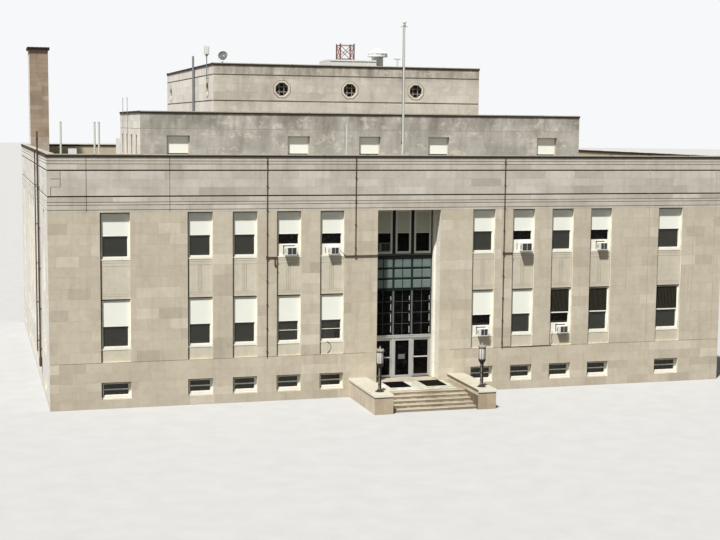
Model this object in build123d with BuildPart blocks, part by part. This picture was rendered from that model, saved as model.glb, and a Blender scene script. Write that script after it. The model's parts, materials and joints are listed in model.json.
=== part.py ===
# Town hall: a long two-storey limestone block on a raised basement, with a deep glazed portal,
# recessed window bays and two set-back upper tiers.
# Millimetres, +Z up. X runs along the front, the front faces -Y and lies at Y = 0.
# The origin is on the entrance axis, in the front face, at the lowest ground level.

import os
from math import atan, cos, degrees, pi, radians

from build123d import *

os.makedirs("parts", exist_ok=True)

# Main block
half_width = 18665.0
main_depth = 30800.0
wall = 450.0
coping_height = 130.0
coping_overhang = 35.0

# Storeys
basement_floor_top = 200.0
first_floor_top = 2030.0
storey_height = 4520.0
floor_slab = 300.0
frieze_height = 2885.0
parapet_height = 690.0

# Window bays
bay_width = 1287.0
bay_pitch = 2305.0
first_bay_x = 4220.0
front_bays_a_side = 4
side_bays = 6
end_bay_width = 1490.0
end_bay_inset = 3275.0
recess_depth = 120.0
plinth_ledge = 300.0
sill_above_floor = 900.0
lower_window_height = 2580.0
upper_window_height = 2405.0
basement_sill = 460.0
basement_window_height = 860.0

# Sashes
sash_setback = 190.0
sash_depth = 100.0
sash_bar = 110.0
meeting_rail = 60.0
sill_height = 190.0
glass_sheet = 12.0
front_sashes = (1, 2, 2)
plain_sashes = (1, 1, 1)

# Stone courses
groove_width = 70.0
groove_depth = 30.0
lower_groove_rise = 765.0
upper_groove_drop = 830.0
fine_groove_width = 35.0
fine_groove_depth = 15.0
fine_groove_rises = (110.0, 355.0, 495.0)
fine_groove_drops = (350.0, 500.0)
flute_width = 20.0
flute_pitch = 90.0
flute_depth = 12.0
flute_low_margin = 165.0
flute_high_margin = 330.0

# Portal
portal_half_width = 1750.0
portal_step = 100.0
portal_step_depth = 120.0
pier_half_width = 2350.0
pier_depth = 1350.0
portal_lintel = 350.0
glazing_setback = 1050.0
glazing_depth = 120.0
frame_bar = 80.0
mullion_width = 180.0
transom_height = 170.0
frame_rail = 60.0
panel_sill_drop = 290.0
portal_rail_rise = 1110.0
portal_sash_bar = 90.0
panel_rows = 3
panel_columns = 2
panel_thickness = 60.0
tile_relief = 25.0
tile_gap = 70.0

# Doors
door_opening_height = 2180.0
door_mullion_width = 120.0
door_gap = 6.0
door_thickness = 45.0
door_setback = 20.0
door_stile = 70.0
door_top_rail = 110.0
door_bottom_rail = 140.0
push_bar_rise = 1120.0
push_bar_height = 60.0
push_bar_stand = 35.0
push_bar_thickness = 30.0
handle_length = 300.0
handle_width = 30.0
handle_stand = 50.0
pin_radius = 5.0
knuckle_radius = 9.0
knuckle_length = 40.0
knuckle_gap = 0.3
hinge_offset = 15.0
hinge_margin = 90.0

# Steps and cheek walls
riser = 140.0
tread = 405.0
steps = 5
landing_depth = 2730.0
cheek_inner = 2250.0
cheek_width = 970.0
cheek_reach = 250.0
cheek_rise = 300.0
cheek_cap = 140.0
cheek_cap_lip = 30.0
lobby_depth = 6000.0
mat_thickness = 15.0
mat_width = 1130.0
mat_depth = 1500.0
mat_centres = (-880.0, 1100.0)
mat_wall_gap = 100.0

# Second tier
tier2_side_setback = 5465.0
tier2_front = 7460.0
tier2_depth = 9990.0
tier2_rise = 2220.0
tier_parapet = 510.0
tier2_end_window_inset = 2100.0
tier2_window_width = 1285.0
tier2_window_height = 1120.0
tier2_sill_above_roof = 450.0
tier2_side_window_width = 620.0
tier2_side_windows = 4
tier2_side_first = 1750.0
tier2_ledge_drop = 970.0

# Third tier
tier3_side_setback = 4843.0
tier3_front_setback = 4340.0
tier3_rise = 2900.0
tier3_parapet = 410.0
octagon_rise = 1920.0
octagon_inner = 450.0
octagon_outer = 560.0
octagon_side_insets = (2100.0, 1900.0)
tier3_lower_groove_drop = 750.0
tier3_upper_groove_rise = 780.0

# Chimney
chimney_width = 1240.0
chimney_depth = 2000.0
chimney_rear_gap = 1200.0
chimney_height = 7300.0
chimney_wall = 230.0
chimney_cap_height = 170.0
chimney_cap_lip = 110.0

# Round bars are drawn with this many sides, thin rods and lanterns with fewer
bar_sides = 12
rod_sides = 8

# Flagpole and posts
flagpole_x = -140.0
flagpole_roof_gap = 450.0
flagpole_height = 7740.0
flagpole_radius = 75.0
flagpole_tip_radius = 45.0
flagpole_foot_radius = 200.0
flagpole_foot_height = 125.0
flagpole_ball_radius = 95.0
flagpole_ball_height = 170.0
flagpole_arm_drop = 360.0
flagpole_arm_length = 380.0
flagpole_arm_width = 50.0
front_post = (-3055.0, 1050.0)
corner_posts = ((445.0, 2550.0), (2145.0, 2550.0), (2365.0, 2550.0))
post_height = 2260.0
post_radius = 50.0

# Gear on the third tier's roof
gear_setback = 4200.0
curb_x = 1020.0
curb_width = 2980.0
curb_depth = 2600.0
curb_height = 910.0
stub_x = 860.0
stub_side = 900.0
stub_height = 1050.0
stub_leg = 70.0
stub_brace = 35.0
stub_rail_margin = 100.0
vent_x = 3000.0
vent_neck_radius = 380.0
vent_neck_height = 1190.0
vent_hood_radius = 650.0
vent_hood_height = 210.0
vent_cone_height = 290.0
vent_top_radius = 217.0
pipe_x = 4341.0
pipe_radius = 60.0
pipe_height = 1120.0
pipe_cap_length = 420.0

# Vent stacks on the main roof: width, height, distance from the second tier's corner
stack_width = 210.0
stack_height = 1410.0
stack_side_gap = 1150.0
stack_front_gap = 350.0
low_stack_width = 400.0
low_stack_height = 900.0
low_stack_inset = 815.0
low_stack_roof_gap = 2300.0

# Masts, dish and whips
mast_stand = 110.0
mast_rear_gap = 1050.0
mast_pitch = 170.0
mast_radius = 55.0
mast_above = 680.0
mast_below = 3260.0
bracket_height = 60.0
antenna_front_gap = 1660.0
antenna_radius = 30.0
antenna_above = 1040.0
antenna_below = 960.0
antenna_panel_height = 500.0
antenna_panel_width = 260.0
dish_inset = 757.0
dish_front_gap = 1200.0
dish_radius = 280.0
dish_thickness = 150.0
dish_level = 850.0
dish_post = 60.0
whip_gaps = (5240.0, 7540.0)
whip_stand = 100.0
whip_radius = 15.0
whip_above = 840.0

# Wall gear
unit_proud = 110.0
large_unit_proud = 210.0
large_unit_width = 940.0
small_unit_width = 660.0
unit_height = 500.0
grille_margin = 40.0
grille_depth = 12.0
grille_share = 0.62
conduit_radius = 28.0
conduit_bend_rise = 40.0

# Lanterns
lantern_front_gap = 800.0
lantern_base_radius = 190.0
lantern_base_height = 65.0
lantern_core_radius = 45.0
lantern_rod_radius = 28.0
lantern_rod_spacing = 56.0
lantern_collar_radius = 95.0
lantern_collar_height = 65.0
lantern_shaft_height = 970.0
lantern_cup_radius = 125.0
lantern_cup_height = 130.0
lantern_glass_radius = 165.0
lantern_glass_height = 670.0
lantern_cap_height = 45.0
lantern_roof_height = 165.0
lantern_finial_radius = 22.0
lantern_finial_height = 230.0

# Levels that follow
second_floor_top = first_floor_top + storey_height
recess_bottom = first_floor_top + plinth_ledge
lower_sill = first_floor_top + sill_above_floor
lower_head = lower_sill + lower_window_height
upper_sill = second_floor_top + sill_above_floor
window_head = upper_sill + upper_window_height
basement_head = basement_sill + basement_window_height
parapet_top = window_head + frieze_height
wall_top = parapet_top - coping_height
main_roof_top = parapet_top - parapet_height
landing_top = riser * steps
door_head = landing_top + door_opening_height
transom_top = door_head + transom_height
panel_bottom = lower_head
panel_top = upper_sill - panel_sill_drop
cheek_top = landing_top + cheek_rise
tier2_top = parapet_top + tier2_rise
tier2_wall_top = tier2_top - coping_height
tier2_roof_top = tier2_top - tier_parapet
tier3_top = tier2_top + tier3_rise
tier3_wall_top = tier3_top - coping_height
tier3_roof_top = tier3_top - tier3_parapet

# Places that follow
reveal_half_width = portal_half_width - portal_step
inner_half_width = half_width - wall
glass_back = sash_setback + sash_depth
front_bay_x = [first_bay_x + bay_pitch * i for i in range(front_bays_a_side)]
end_bay_x = half_width - end_bay_inset
tier2_half_width = half_width - tier2_side_setback
tier2_rear = tier2_front + tier2_depth
tier3_half_width = tier2_half_width - tier3_side_setback
tier3_front = tier2_front + tier3_front_setback
tier3_inner_half = tier3_half_width - wall
gear_y = tier3_front + gear_setback
course_levels = (window_head + lower_groove_rise, parapet_top - upper_groove_drop)
fine_course_levels = [window_head + rise for rise in fine_groove_rises]
fine_course_levels += [parapet_top - drop for drop in fine_groove_drops]

# Elevation planes: local x runs along the wall, local y is the height, the normal points outwards.
front_face = Plane(origin=(0, 0, 0), x_dir=(1, 0, 0), z_dir=(0, -1, 0))
rear_face = Plane(origin=(0, main_depth, 0), x_dir=(-1, 0, 0), z_dir=(0, 1, 0))
left_face = Plane(origin=(-half_width, 0, 0), x_dir=(0, -1, 0), z_dir=(-1, 0, 0))
right_face = Plane(origin=(half_width, 0, 0), x_dir=(0, 1, 0), z_dir=(1, 0, 0))


def rectangles(boxes):
    """Sketch rectangles given as (low x, high x, low y, high y)."""
    for low_x, high_x, low_y, high_y in boxes:
        with Locations(((low_x + high_x) / 2, (low_y + high_y) / 2)):
            Rectangle(high_x - low_x, high_y - low_y)


def raise_boxes(face, boxes, near, far, mode=Mode.ADD):
    """Prisms on an elevation plane, from one depth behind the face to another."""
    with BuildSketch(face.offset(-far)) as profile:
        rectangles(boxes)
    extrude(profile.sketch, amount=far - near, mode=mode)


def upright(low_x, high_x, low_y, high_y, low_z, high_z, mode=Mode.ADD):
    """A block between two levels."""
    with BuildSketch(Plane.XY.offset(low_z)) as profile:
        rectangles([(low_x, high_x, low_y, high_y)])
    extrude(profile.sketch, amount=high_z - low_z, mode=mode)


def round_bar(plane, x, y, radius, length):
    """A true round bar along the plane's normal."""
    with BuildSketch(plane) as profile:
        with Locations((x, y)):
            Circle(radius)
    extrude(profile.sketch, amount=length)


def sided_bar(plane, x, y, radius, length, sides, end_radius=None, mode=Mode.ADD):
    """A many-sided bar along the plane's normal, tapered when it has another end radius."""
    inset = 0 if end_radius is None else (radius - end_radius) * cos(pi / sides)
    with BuildSketch(plane) as profile:
        with Locations((x, y)):
            RegularPolygon(radius, sides)
    extrude(profile.sketch, amount=length, taper=degrees(atan(inset / length)), mode=mode)


def stack_bars(x, y, low_z, stages, sides):
    """Bars of one axis on top of each other; each stage is (height, low radius, high radius)."""
    for height, low_radius, high_radius in stages:
        sided_bar(Plane.XY.offset(low_z), x, y, low_radius, height, sides, high_radius)
        low_z += height


def cut_courses(face, low_x, high_x, levels, height, depth):
    """Horizontal grooves cut into a face."""
    boxes = [(low_x, high_x, level, level + height) for level in levels]
    raise_boxes(face, boxes, 0, depth, mode=Mode.SUBTRACT)


def cut_wall_courses(face, low_x, high_x):
    """The two deep grooves and the fine lines of the main walls."""
    cut_courses(face, low_x, high_x, course_levels, groove_width, groove_depth)
    cut_courses(face, low_x, high_x, fine_course_levels, fine_groove_width, fine_groove_depth)


def bay_rectangles(bays, low_z, high_z, trim=0, mode=Mode.ADD):
    """Sketch one rectangle a bay between two levels; bays holds pairs of (width, centres)."""
    for width, centres in bays:
        with Locations(*[(x, (low_z + high_z) / 2) for x in centres]):
            Rectangle(width - 2 * trim, high_z - low_z, mode=mode)


def window_prisms(face, bays, near, far, mode=Mode.ADD):
    """Prisms as large as the window openings, between two depths."""
    with BuildSketch(face.offset(-far)) as openings:
        for sill, head in window_rows:
            bay_rectangles(bays, sill, head)
    extrude(openings.sketch, amount=far - near, mode=mode)


def stone_wall(face, low_x, high_x, bays):
    """A main wall with recessed bays, window openings, grooves and fine lines."""
    raise_boxes(face, [(low_x, high_x, 0, wall_top)], 0, wall)
    with BuildSketch(face.offset(-recess_depth)) as recesses:
        bay_rectangles(bays, recess_bottom, window_head)
    extrude(recesses.sketch, amount=recess_depth, mode=Mode.SUBTRACT)
    window_prisms(face, bays, 0, wall, mode=Mode.SUBTRACT)
    cut_wall_courses(face, low_x, high_x)


def cut_flutes(face, centres):
    """Three upright flutes in the spandrel of each bay."""
    low_z = lower_head + flute_low_margin
    high_z = upper_sill - flute_high_margin
    with BuildSketch(face.offset(-recess_depth - flute_depth)) as flutes:
        for x in centres:
            with Locations((x, (low_z + high_z) / 2)):
                with GridLocations(flute_pitch, 0, 3, 1):
                    Rectangle(flute_width, high_z - low_z)
    extrude(flutes.sketch, amount=flute_depth, mode=Mode.SUBTRACT)


def sash_frames(face, bays, sashes_a_row):
    """White frames, with a meeting rail between the sashes of a double-hung window."""
    with BuildSketch(face.offset(-glass_back)) as frames:
        for (sill, head), sashes in zip(window_rows, sashes_a_row):
            bay_rectangles(bays, sill, head)
            bottom = sill + sill_height
            pane = (head - sash_bar - bottom - (sashes - 1) * meeting_rail) / sashes
            for i in range(sashes):
                low_z = bottom + i * (pane + meeting_rail)
                bay_rectangles(bays, low_z, low_z + pane, trim=sash_bar, mode=Mode.SUBTRACT)
    extrude(frames.sketch, amount=sash_depth)


window_rows = ((basement_sill, basement_head), (lower_sill, lower_head), (upper_sill, window_head))
right_front_bays = ((bay_width, front_bay_x), (end_bay_width, [end_bay_x]))
left_front_bays = ((bay_width, [-x for x in front_bay_x]), (end_bay_width, [-end_bay_x]))
side_first = main_depth / 2 - bay_pitch * (side_bays - 1) / 2
side_bay_y = [side_first + bay_pitch * i for i in range(side_bays)]
side_end_y = [end_bay_inset, main_depth - end_bay_inset]
right_bays = ((bay_width, side_bay_y), (end_bay_width, side_end_y))
left_bays = ((bay_width, [-y for y in side_bay_y]), (end_bay_width, [-y for y in side_end_y]))
rear_bays = (
    (bay_width, front_bay_x + [-x for x in front_bay_x]),
    (end_bay_width, [-end_bay_x, 0, end_bay_x]),
)

# Front wall, left and right of the portal
with BuildPart() as front_wall_left:
    stone_wall(front_face, -half_width, -pier_half_width, left_front_bays)
    cut_flutes(front_face, [-x for x in front_bay_x])
front_wall_left.part.label = "front_wall_left"
export_step(front_wall_left.part, "parts/front_wall_left.step")

with BuildPart() as front_wall_right:
    stone_wall(front_face, pier_half_width, half_width, right_front_bays)
    cut_flutes(front_face, front_bay_x)
front_wall_right.part.label = "front_wall_right"
export_step(front_wall_right.part, "parts/front_wall_right.step")

# Side walls between the front and rear walls
with BuildPart() as left_wall:
    stone_wall(left_face, wall - main_depth, -wall, left_bays)
left_wall.part.label = "left_wall"
export_step(left_wall.part, "parts/left_wall.step")

with BuildPart() as right_wall:
    stone_wall(right_face, wall, main_depth - wall, right_bays)
right_wall.part.label = "right_wall"
export_step(right_wall.part, "parts/right_wall.step")

with BuildPart() as rear_wall:
    stone_wall(rear_face, -half_width, half_width, rear_bays)
rear_wall.part.label = "rear_wall"
export_step(rear_wall.part, "parts/rear_wall.step")

# Portal piers with a stepped reveal
with BuildPart() as portal_piers:
    with BuildSketch(Plane.XY):
        for side in (-1, 1):
            with BuildLine():
                Polyline(
                    (side * portal_half_width, 0),
                    (side * pier_half_width, 0),
                    (side * pier_half_width, pier_depth),
                    (side * reveal_half_width, pier_depth),
                    (side * reveal_half_width, portal_step_depth),
                    (side * portal_half_width, portal_step_depth),
                    close=True,
                )
            make_face()
    extrude(amount=window_head)
portal_piers.part.label = "portal_piers"
export_step(portal_piers.part, "parts/portal_piers.step")

# Wall and soffit over the portal
with BuildPart() as portal_head:
    upright(-pier_half_width, pier_half_width, 0, wall, window_head, wall_top)
    upright(-pier_half_width, pier_half_width, wall, pier_depth, window_head, window_head + portal_lintel)
    cut_wall_courses(front_face, -pier_half_width, pier_half_width)
portal_head.part.label = "portal_head"
export_step(portal_head.part, "parts/portal_head.step")


def coping_ring(half, front, rear, low_z, notch_half):
    """A coping along the wall tops; notch_half leaves the rear open where a taller tier stands."""
    out = coping_overhang
    upright(-half - out, half + out, front - out, rear + out, low_z, low_z + coping_height)
    upright(
        -half + wall + out, half - wall - out, front + wall + out, rear - wall - out,
        low_z, low_z + coping_height, mode=Mode.SUBTRACT,
    )
    if notch_half > 0:
        upright(
            -notch_half, notch_half, rear - wall - 2 * out, rear + 2 * out,
            low_z, low_z + coping_height, mode=Mode.SUBTRACT,
        )


# Parapet coping, open at the rear where the third tier rises
with BuildPart() as parapet_coping:
    coping_ring(half_width, 0, main_depth, wall_top, tier3_half_width)
parapet_coping.part.label = "parapet_coping"
export_step(parapet_coping.part, "parts/parapet_coping.step")

with BuildPart() as tier_copings:
    coping_ring(tier2_half_width, tier2_front, tier2_rear, tier2_wall_top, tier3_half_width)
    coping_ring(tier3_half_width, tier3_front, main_depth, tier3_wall_top, 0)
tier_copings.part.label = "tier_copings"
export_step(tier_copings.part, "parts/tier_copings.step")


def floor_round_lobby(low_z, high_z):
    """A floor between the main walls that leaves the lobby free."""
    upright(-inner_half_width, inner_half_width, lobby_depth, main_depth - wall, low_z, high_z)
    upright(-inner_half_width, -pier_half_width, wall, lobby_depth, low_z, high_z)
    upright(pier_half_width, inner_half_width, wall, lobby_depth, low_z, high_z)


# Floors and roofs
with BuildPart() as basement_floor:
    floor_round_lobby(0, basement_floor_top)
basement_floor.part.label = "basement_floor"
export_step(basement_floor.part, "parts/basement_floor.step")

with BuildPart() as first_floor:
    floor_round_lobby(first_floor_top - floor_slab, first_floor_top)
first_floor.part.label = "first_floor"
export_step(first_floor.part, "parts/first_floor.step")

with BuildPart() as second_floor:
    upright(
        -inner_half_width, inner_half_width, pier_depth, main_depth - wall,
        second_floor_top - floor_slab, second_floor_top,
    )
second_floor.part.label = "second_floor"
export_step(second_floor.part, "parts/second_floor.step")

with BuildPart() as main_roof:
    upright(
        -inner_half_width, inner_half_width, wall, main_depth - wall,
        main_roof_top - floor_slab, main_roof_top,
    )
main_roof.part.label = "main_roof"
export_step(main_roof.part, "parts/main_roof.step")

# The three bays between the portal's posts, and the levels of its glazing
mullion_x = (reveal_half_width - frame_bar) / 3
reveal_bays = (
    (-reveal_half_width + frame_bar, -mullion_x - mullion_width / 2),
    (-mullion_x + mullion_width / 2, mullion_x - mullion_width / 2),
    (mullion_x + mullion_width / 2, reveal_half_width - frame_bar),
)
portal_rail = upper_sill + portal_rail_rise
glazing_top = window_head - frame_rail
grid_top = panel_bottom - frame_rail
glazing_back = glazing_setback + glazing_depth
pane_front = glazing_setback + (glazing_depth - glass_sheet) / 2
portal_panes = []
for low_x, high_x in reveal_bays:
    pane_low = low_x + portal_sash_bar
    pane_high = high_x - portal_sash_bar
    portal_panes.append((pane_low, pane_high, upper_sill + sash_bar, portal_rail))
    portal_panes.append((pane_low, pane_high, portal_rail + frame_rail, glazing_top - frame_rail))

# Window frames, with the sashes at the top of the portal
with BuildPart() as front_windows:
    sash_frames(front_face, left_front_bays, front_sashes)
    sash_frames(front_face, right_front_bays, front_sashes)
    sash_boxes = [(low_x, high_x, upper_sill, glazing_top) for low_x, high_x in reveal_bays]
    raise_boxes(front_face, sash_boxes, pane_front - frame_rail, glazing_back)
    raise_boxes(front_face, portal_panes, pane_front - frame_rail, glazing_back, mode=Mode.SUBTRACT)
front_windows.part.label = "front_windows"
export_step(front_windows.part, "parts/front_windows.step")

with BuildPart() as side_windows:
    sash_frames(left_face, left_bays, plain_sashes)
    sash_frames(right_face, right_bays, plain_sashes)
side_windows.part.label = "side_windows"
export_step(side_windows.part, "parts/side_windows.step")

with BuildPart() as rear_windows:
    sash_frames(rear_face, rear_bays, plain_sashes)
rear_windows.part.label = "rear_windows"
export_step(rear_windows.part, "parts/rear_windows.step")

# Glass: a pane behind each front frame, and one sheet a storey inside the side and rear walls
side_span = max(side_end_y) - min(side_end_y) + end_bay_width
rear_span = 2 * end_bay_x + end_bay_width
sheet_walls = (
    (left_face, -main_depth / 2, side_span),
    (right_face, main_depth / 2, side_span),
    (rear_face, 0, rear_span),
)
with BuildPart() as window_glass:
    window_prisms(front_face, left_front_bays, glass_back, glass_back + glass_sheet)
    window_prisms(front_face, right_front_bays, glass_back, glass_back + glass_sheet)
    for face, middle, span in sheet_walls:
        sheets = [(middle - span / 2, middle + span / 2, sill, head) for sill, head in window_rows]
        raise_boxes(face, sheets, wall, wall + glass_sheet)
window_glass.part.label = "window_glass"
export_step(window_glass.part, "parts/window_glass.step")

# Portal frame above the doors
with BuildPart() as portal_frame:
    frame_box = (-reveal_half_width, reveal_half_width, door_head, window_head)
    raise_boxes(front_face, [frame_box], glazing_setback, glazing_back)
    frame_holes = []
    for low_x, high_x in reveal_bays:
        frame_holes.append((low_x, high_x, transom_top, grid_top))
        frame_holes.append((low_x, high_x, panel_bottom, panel_top))
        frame_holes.append((low_x, high_x, upper_sill, glazing_top))
    raise_boxes(front_face, frame_holes, glazing_setback, glazing_back, mode=Mode.SUBTRACT)
portal_frame.part.label = "portal_frame"
export_step(portal_frame.part, "parts/portal_frame.step")

# Door posts and the fixed middle bay
middle_half = mullion_x - door_mullion_width / 2
doorway = (mullion_x + door_mullion_width / 2, reveal_half_width - frame_bar)
middle_pane = (
    -middle_half + frame_rail, middle_half - frame_rail,
    landing_top + door_bottom_rail, door_head - door_top_rail,
)
with BuildPart() as door_frame:
    frame_box = (-reveal_half_width, reveal_half_width, landing_top, door_head)
    raise_boxes(front_face, [frame_box], glazing_setback, glazing_back)
    doorways = [
        (doorway[0], doorway[1], landing_top, door_head),
        (-doorway[1], -doorway[0], landing_top, door_head),
        middle_pane,
    ]
    raise_boxes(front_face, doorways, glazing_setback, glazing_back, mode=Mode.SUBTRACT)
door_frame.part.label = "door_frame"
export_step(door_frame.part, "parts/door_frame.step")

# Fixed glass of the portal, held in the middle of the frame
with BuildPart() as portal_glass:
    grid_panes = [(low_x, high_x, transom_top, grid_top) for low_x, high_x in reveal_bays]
    raise_boxes(front_face, [middle_pane] + grid_panes + portal_panes, pane_front, pane_front + glass_sheet)
portal_glass.part.label = "portal_glass"
export_step(portal_glass.part, "parts/portal_glass.step")

# Spandrel panels with raised tiles
panel_front = glazing_setback + (glazing_depth - panel_thickness) / 2
with BuildPart() as portal_panels:
    raise_boxes(
        front_face, [(low_x, high_x, panel_bottom, panel_top) for low_x, high_x in reveal_bays],
        panel_front, panel_front + panel_thickness,
    )
    for low_x, high_x in reveal_bays:
        cell_x = (high_x - low_x) / panel_columns
        cell_z = (panel_top - panel_bottom) / panel_rows
        with BuildSketch(front_face.offset(-panel_front)):
            with Locations(((low_x + high_x) / 2, (panel_bottom + panel_top) / 2)):
                with GridLocations(cell_x, cell_z, panel_columns, panel_rows):
                    Rectangle(cell_x - tile_gap, cell_z - tile_gap)
        extrude(amount=tile_relief)
portal_panels.part.label = "portal_panels"
export_step(portal_panels.part, "parts/portal_panels.step")

# Doors: a glazed leaf with push bars, a pull handle and the moving hinge knuckles
leaf_bottom = landing_top + door_gap
leaf_top = door_head - door_gap
leaf_front = glazing_setback + door_setback
pane_bottom = leaf_bottom + door_bottom_rail
pane_top = leaf_top - door_top_rail
leaf_low_x = doorway[0] + door_gap
leaf_high_x = doorway[1] - door_gap
push_bar_level = landing_top + push_bar_rise
hinge_x = doorway[1] - hinge_offset
hinge_y = leaf_front - hinge_offset
sleeve_radius = (pin_radius + knuckle_gap) / cos(pi / bar_sides)
hinge_levels = (leaf_bottom + hinge_margin, leaf_top - hinge_margin)


def door_leaf(side):
    """The leaf on one side; side is 1 on the right and -1 on the left."""
    low_x, high_x = sorted((side * leaf_low_x, side * leaf_high_x))
    leaf_back = leaf_front + door_thickness
    raise_boxes(front_face, [(low_x, high_x, leaf_bottom, leaf_top)], leaf_front, leaf_back)
    pane = (low_x + door_stile, high_x - door_stile, pane_bottom, pane_top)
    raise_boxes(front_face, [pane], leaf_front, leaf_back, mode=Mode.SUBTRACT)
    bar_low = push_bar_level - push_bar_height / 2
    bar_high = push_bar_level + push_bar_height / 2
    inner_low = low_x + door_stile / 2
    inner_high = high_x - door_stile / 2
    bar_near = leaf_back + push_bar_stand
    raise_boxes(
        front_face, [(inner_low, inner_high, bar_low, bar_high)], bar_near, bar_near + push_bar_thickness
    )
    feet = [
        (inner_low, inner_low + push_bar_thickness, bar_low, bar_high),
        (inner_high - push_bar_thickness, inner_high, bar_low, bar_high),
    ]
    raise_boxes(front_face, feet, leaf_back, bar_near)
    grip_x = side * (leaf_low_x + door_stile / 2)
    grip_low_x = grip_x - handle_width / 2
    grip_high_x = grip_x + handle_width / 2
    grip_low = push_bar_level - handle_length / 2
    grip_high = push_bar_level + handle_length / 2
    grip_near = leaf_front - handle_stand
    grip_back = grip_near + handle_width / 2
    raise_boxes(front_face, [(grip_low_x, grip_high_x, grip_low, grip_high)], grip_near, grip_back)
    grip_feet = [
        (grip_low_x, grip_high_x, grip_low, grip_low + handle_width),
        (grip_low_x, grip_high_x, grip_high - handle_width, grip_high),
    ]
    raise_boxes(front_face, grip_feet, grip_back, leaf_front)
    for level in hinge_levels:
        low_z = level - knuckle_length / 2
        low_plate, high_plate = sorted((side * hinge_x, side * (hinge_x - door_stile / 2)))
        plate = (low_plate, high_plate, low_z, low_z + knuckle_length)
        raise_boxes(front_face, [plate], hinge_y, leaf_front)
        base = Plane.XY.offset(low_z)
        sided_bar(base, side * hinge_x, hinge_y, knuckle_radius, knuckle_length, bar_sides)
        sided_bar(
            base, side * hinge_x, hinge_y, sleeve_radius, knuckle_length, bar_sides, mode=Mode.SUBTRACT
        )


def leaf_glass(side):
    """The glass in the middle of a leaf's thickness."""
    low_x, high_x = sorted((side * (leaf_low_x + door_stile), side * (leaf_high_x - door_stile)))
    near = leaf_front + (door_thickness - glass_sheet) / 2
    raise_boxes(front_face, [(low_x, high_x, pane_bottom, pane_top)], near, near + glass_sheet)


with BuildPart() as left_door:
    door_leaf(-1)
left_door.part.label = "left_door"
export_step(left_door.part, "parts/left_door.step")

with BuildPart() as right_door:
    door_leaf(1)
right_door.part.label = "right_door"
export_step(right_door.part, "parts/right_door.step")

with BuildPart() as left_door_glass:
    leaf_glass(-1)
left_door_glass.part.label = "left_door_glass"
export_step(left_door_glass.part, "parts/left_door_glass.step")

with BuildPart() as right_door_glass:
    leaf_glass(1)
right_door_glass.part.label = "right_door_glass"
export_step(right_door_glass.part, "parts/right_door_glass.step")

# Offset pivots: a fixed knuckle under the leaf's lower one and over its upper one, each with its pin
with BuildPart() as door_hinges:
    pivot_step = knuckle_length + knuckle_gap
    for side in (-1, 1):
        for level, way in zip(hinge_levels, (-1, 1)):
            fixed_z = level + way * pivot_step - knuckle_length / 2
            sided_bar(
                Plane.XY.offset(fixed_z), side * hinge_x, hinge_y, knuckle_radius, knuckle_length, bar_sides
            )
            low_plate, high_plate = sorted((side * hinge_x, side * doorway[1]))
            raise_boxes(
                front_face, [(low_plate, high_plate, fixed_z, fixed_z + knuckle_length)],
                hinge_y - pin_radius, hinge_y + pin_radius,
            )
            pin_z = min(fixed_z, level - knuckle_length / 2)
            round_bar(
                Plane.XY.offset(pin_z), side * hinge_x, hinge_y, pin_radius, pivot_step + knuckle_length
            )
door_hinges.part.label = "door_hinges"
export_step(door_hinges.part, "parts/door_hinges.step")

# Steps, landing and lobby floor
with BuildPart() as entrance_steps:
    with BuildSketch(Plane.YZ.offset(-cheek_inner)):
        with BuildLine():
            outline = [(0, 0), (-landing_depth - tread * (steps - 1), 0)]
            for i in range(steps):
                nose = -landing_depth - tread * (steps - 1 - i)
                outline.append((nose, riser * (i + 1)))
                if i < steps - 1:
                    outline.append((nose + tread, riser * (i + 1)))
            outline.append((0, landing_top))
            Polyline(*outline, close=True)
        make_face()
    extrude(amount=2 * cheek_inner)
    upright(-portal_half_width, portal_half_width, 0, portal_step_depth, 0, landing_top)
    upright(-reveal_half_width, reveal_half_width, 0, pier_depth, 0, landing_top)
    upright(-pier_half_width, pier_half_width, pier_depth, lobby_depth, 0, landing_top)
entrance_steps.part.label = "entrance_steps"
export_step(entrance_steps.part, "parts/entrance_steps.step")

cheek_outer = cheek_inner + cheek_width
cheek_front = -landing_depth - tread * (steps - 1) - cheek_reach
with BuildPart() as cheek_walls:
    for side in (-1, 1):
        low_x, high_x = sorted((side * cheek_inner, side * cheek_outer))
        upright(low_x, high_x, cheek_front, 0, 0, cheek_top - cheek_cap)
        low_x, high_x = sorted((side * cheek_inner, side * (cheek_outer + cheek_cap_lip)))
        upright(low_x, high_x, cheek_front - cheek_cap_lip, 0, cheek_top - cheek_cap, cheek_top)
cheek_walls.part.label = "cheek_walls"
export_step(cheek_walls.part, "parts/cheek_walls.step")

with BuildPart() as door_mats:
    with BuildSketch(Plane.XY.offset(landing_top)):
        with Locations(*[(x, -mat_wall_gap - mat_depth / 2) for x in mat_centres]):
            Rectangle(mat_width, mat_depth)
    extrude(amount=mat_thickness)
door_mats.part.label = "door_mats"
export_step(door_mats.part, "parts/door_mats.step")

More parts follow.
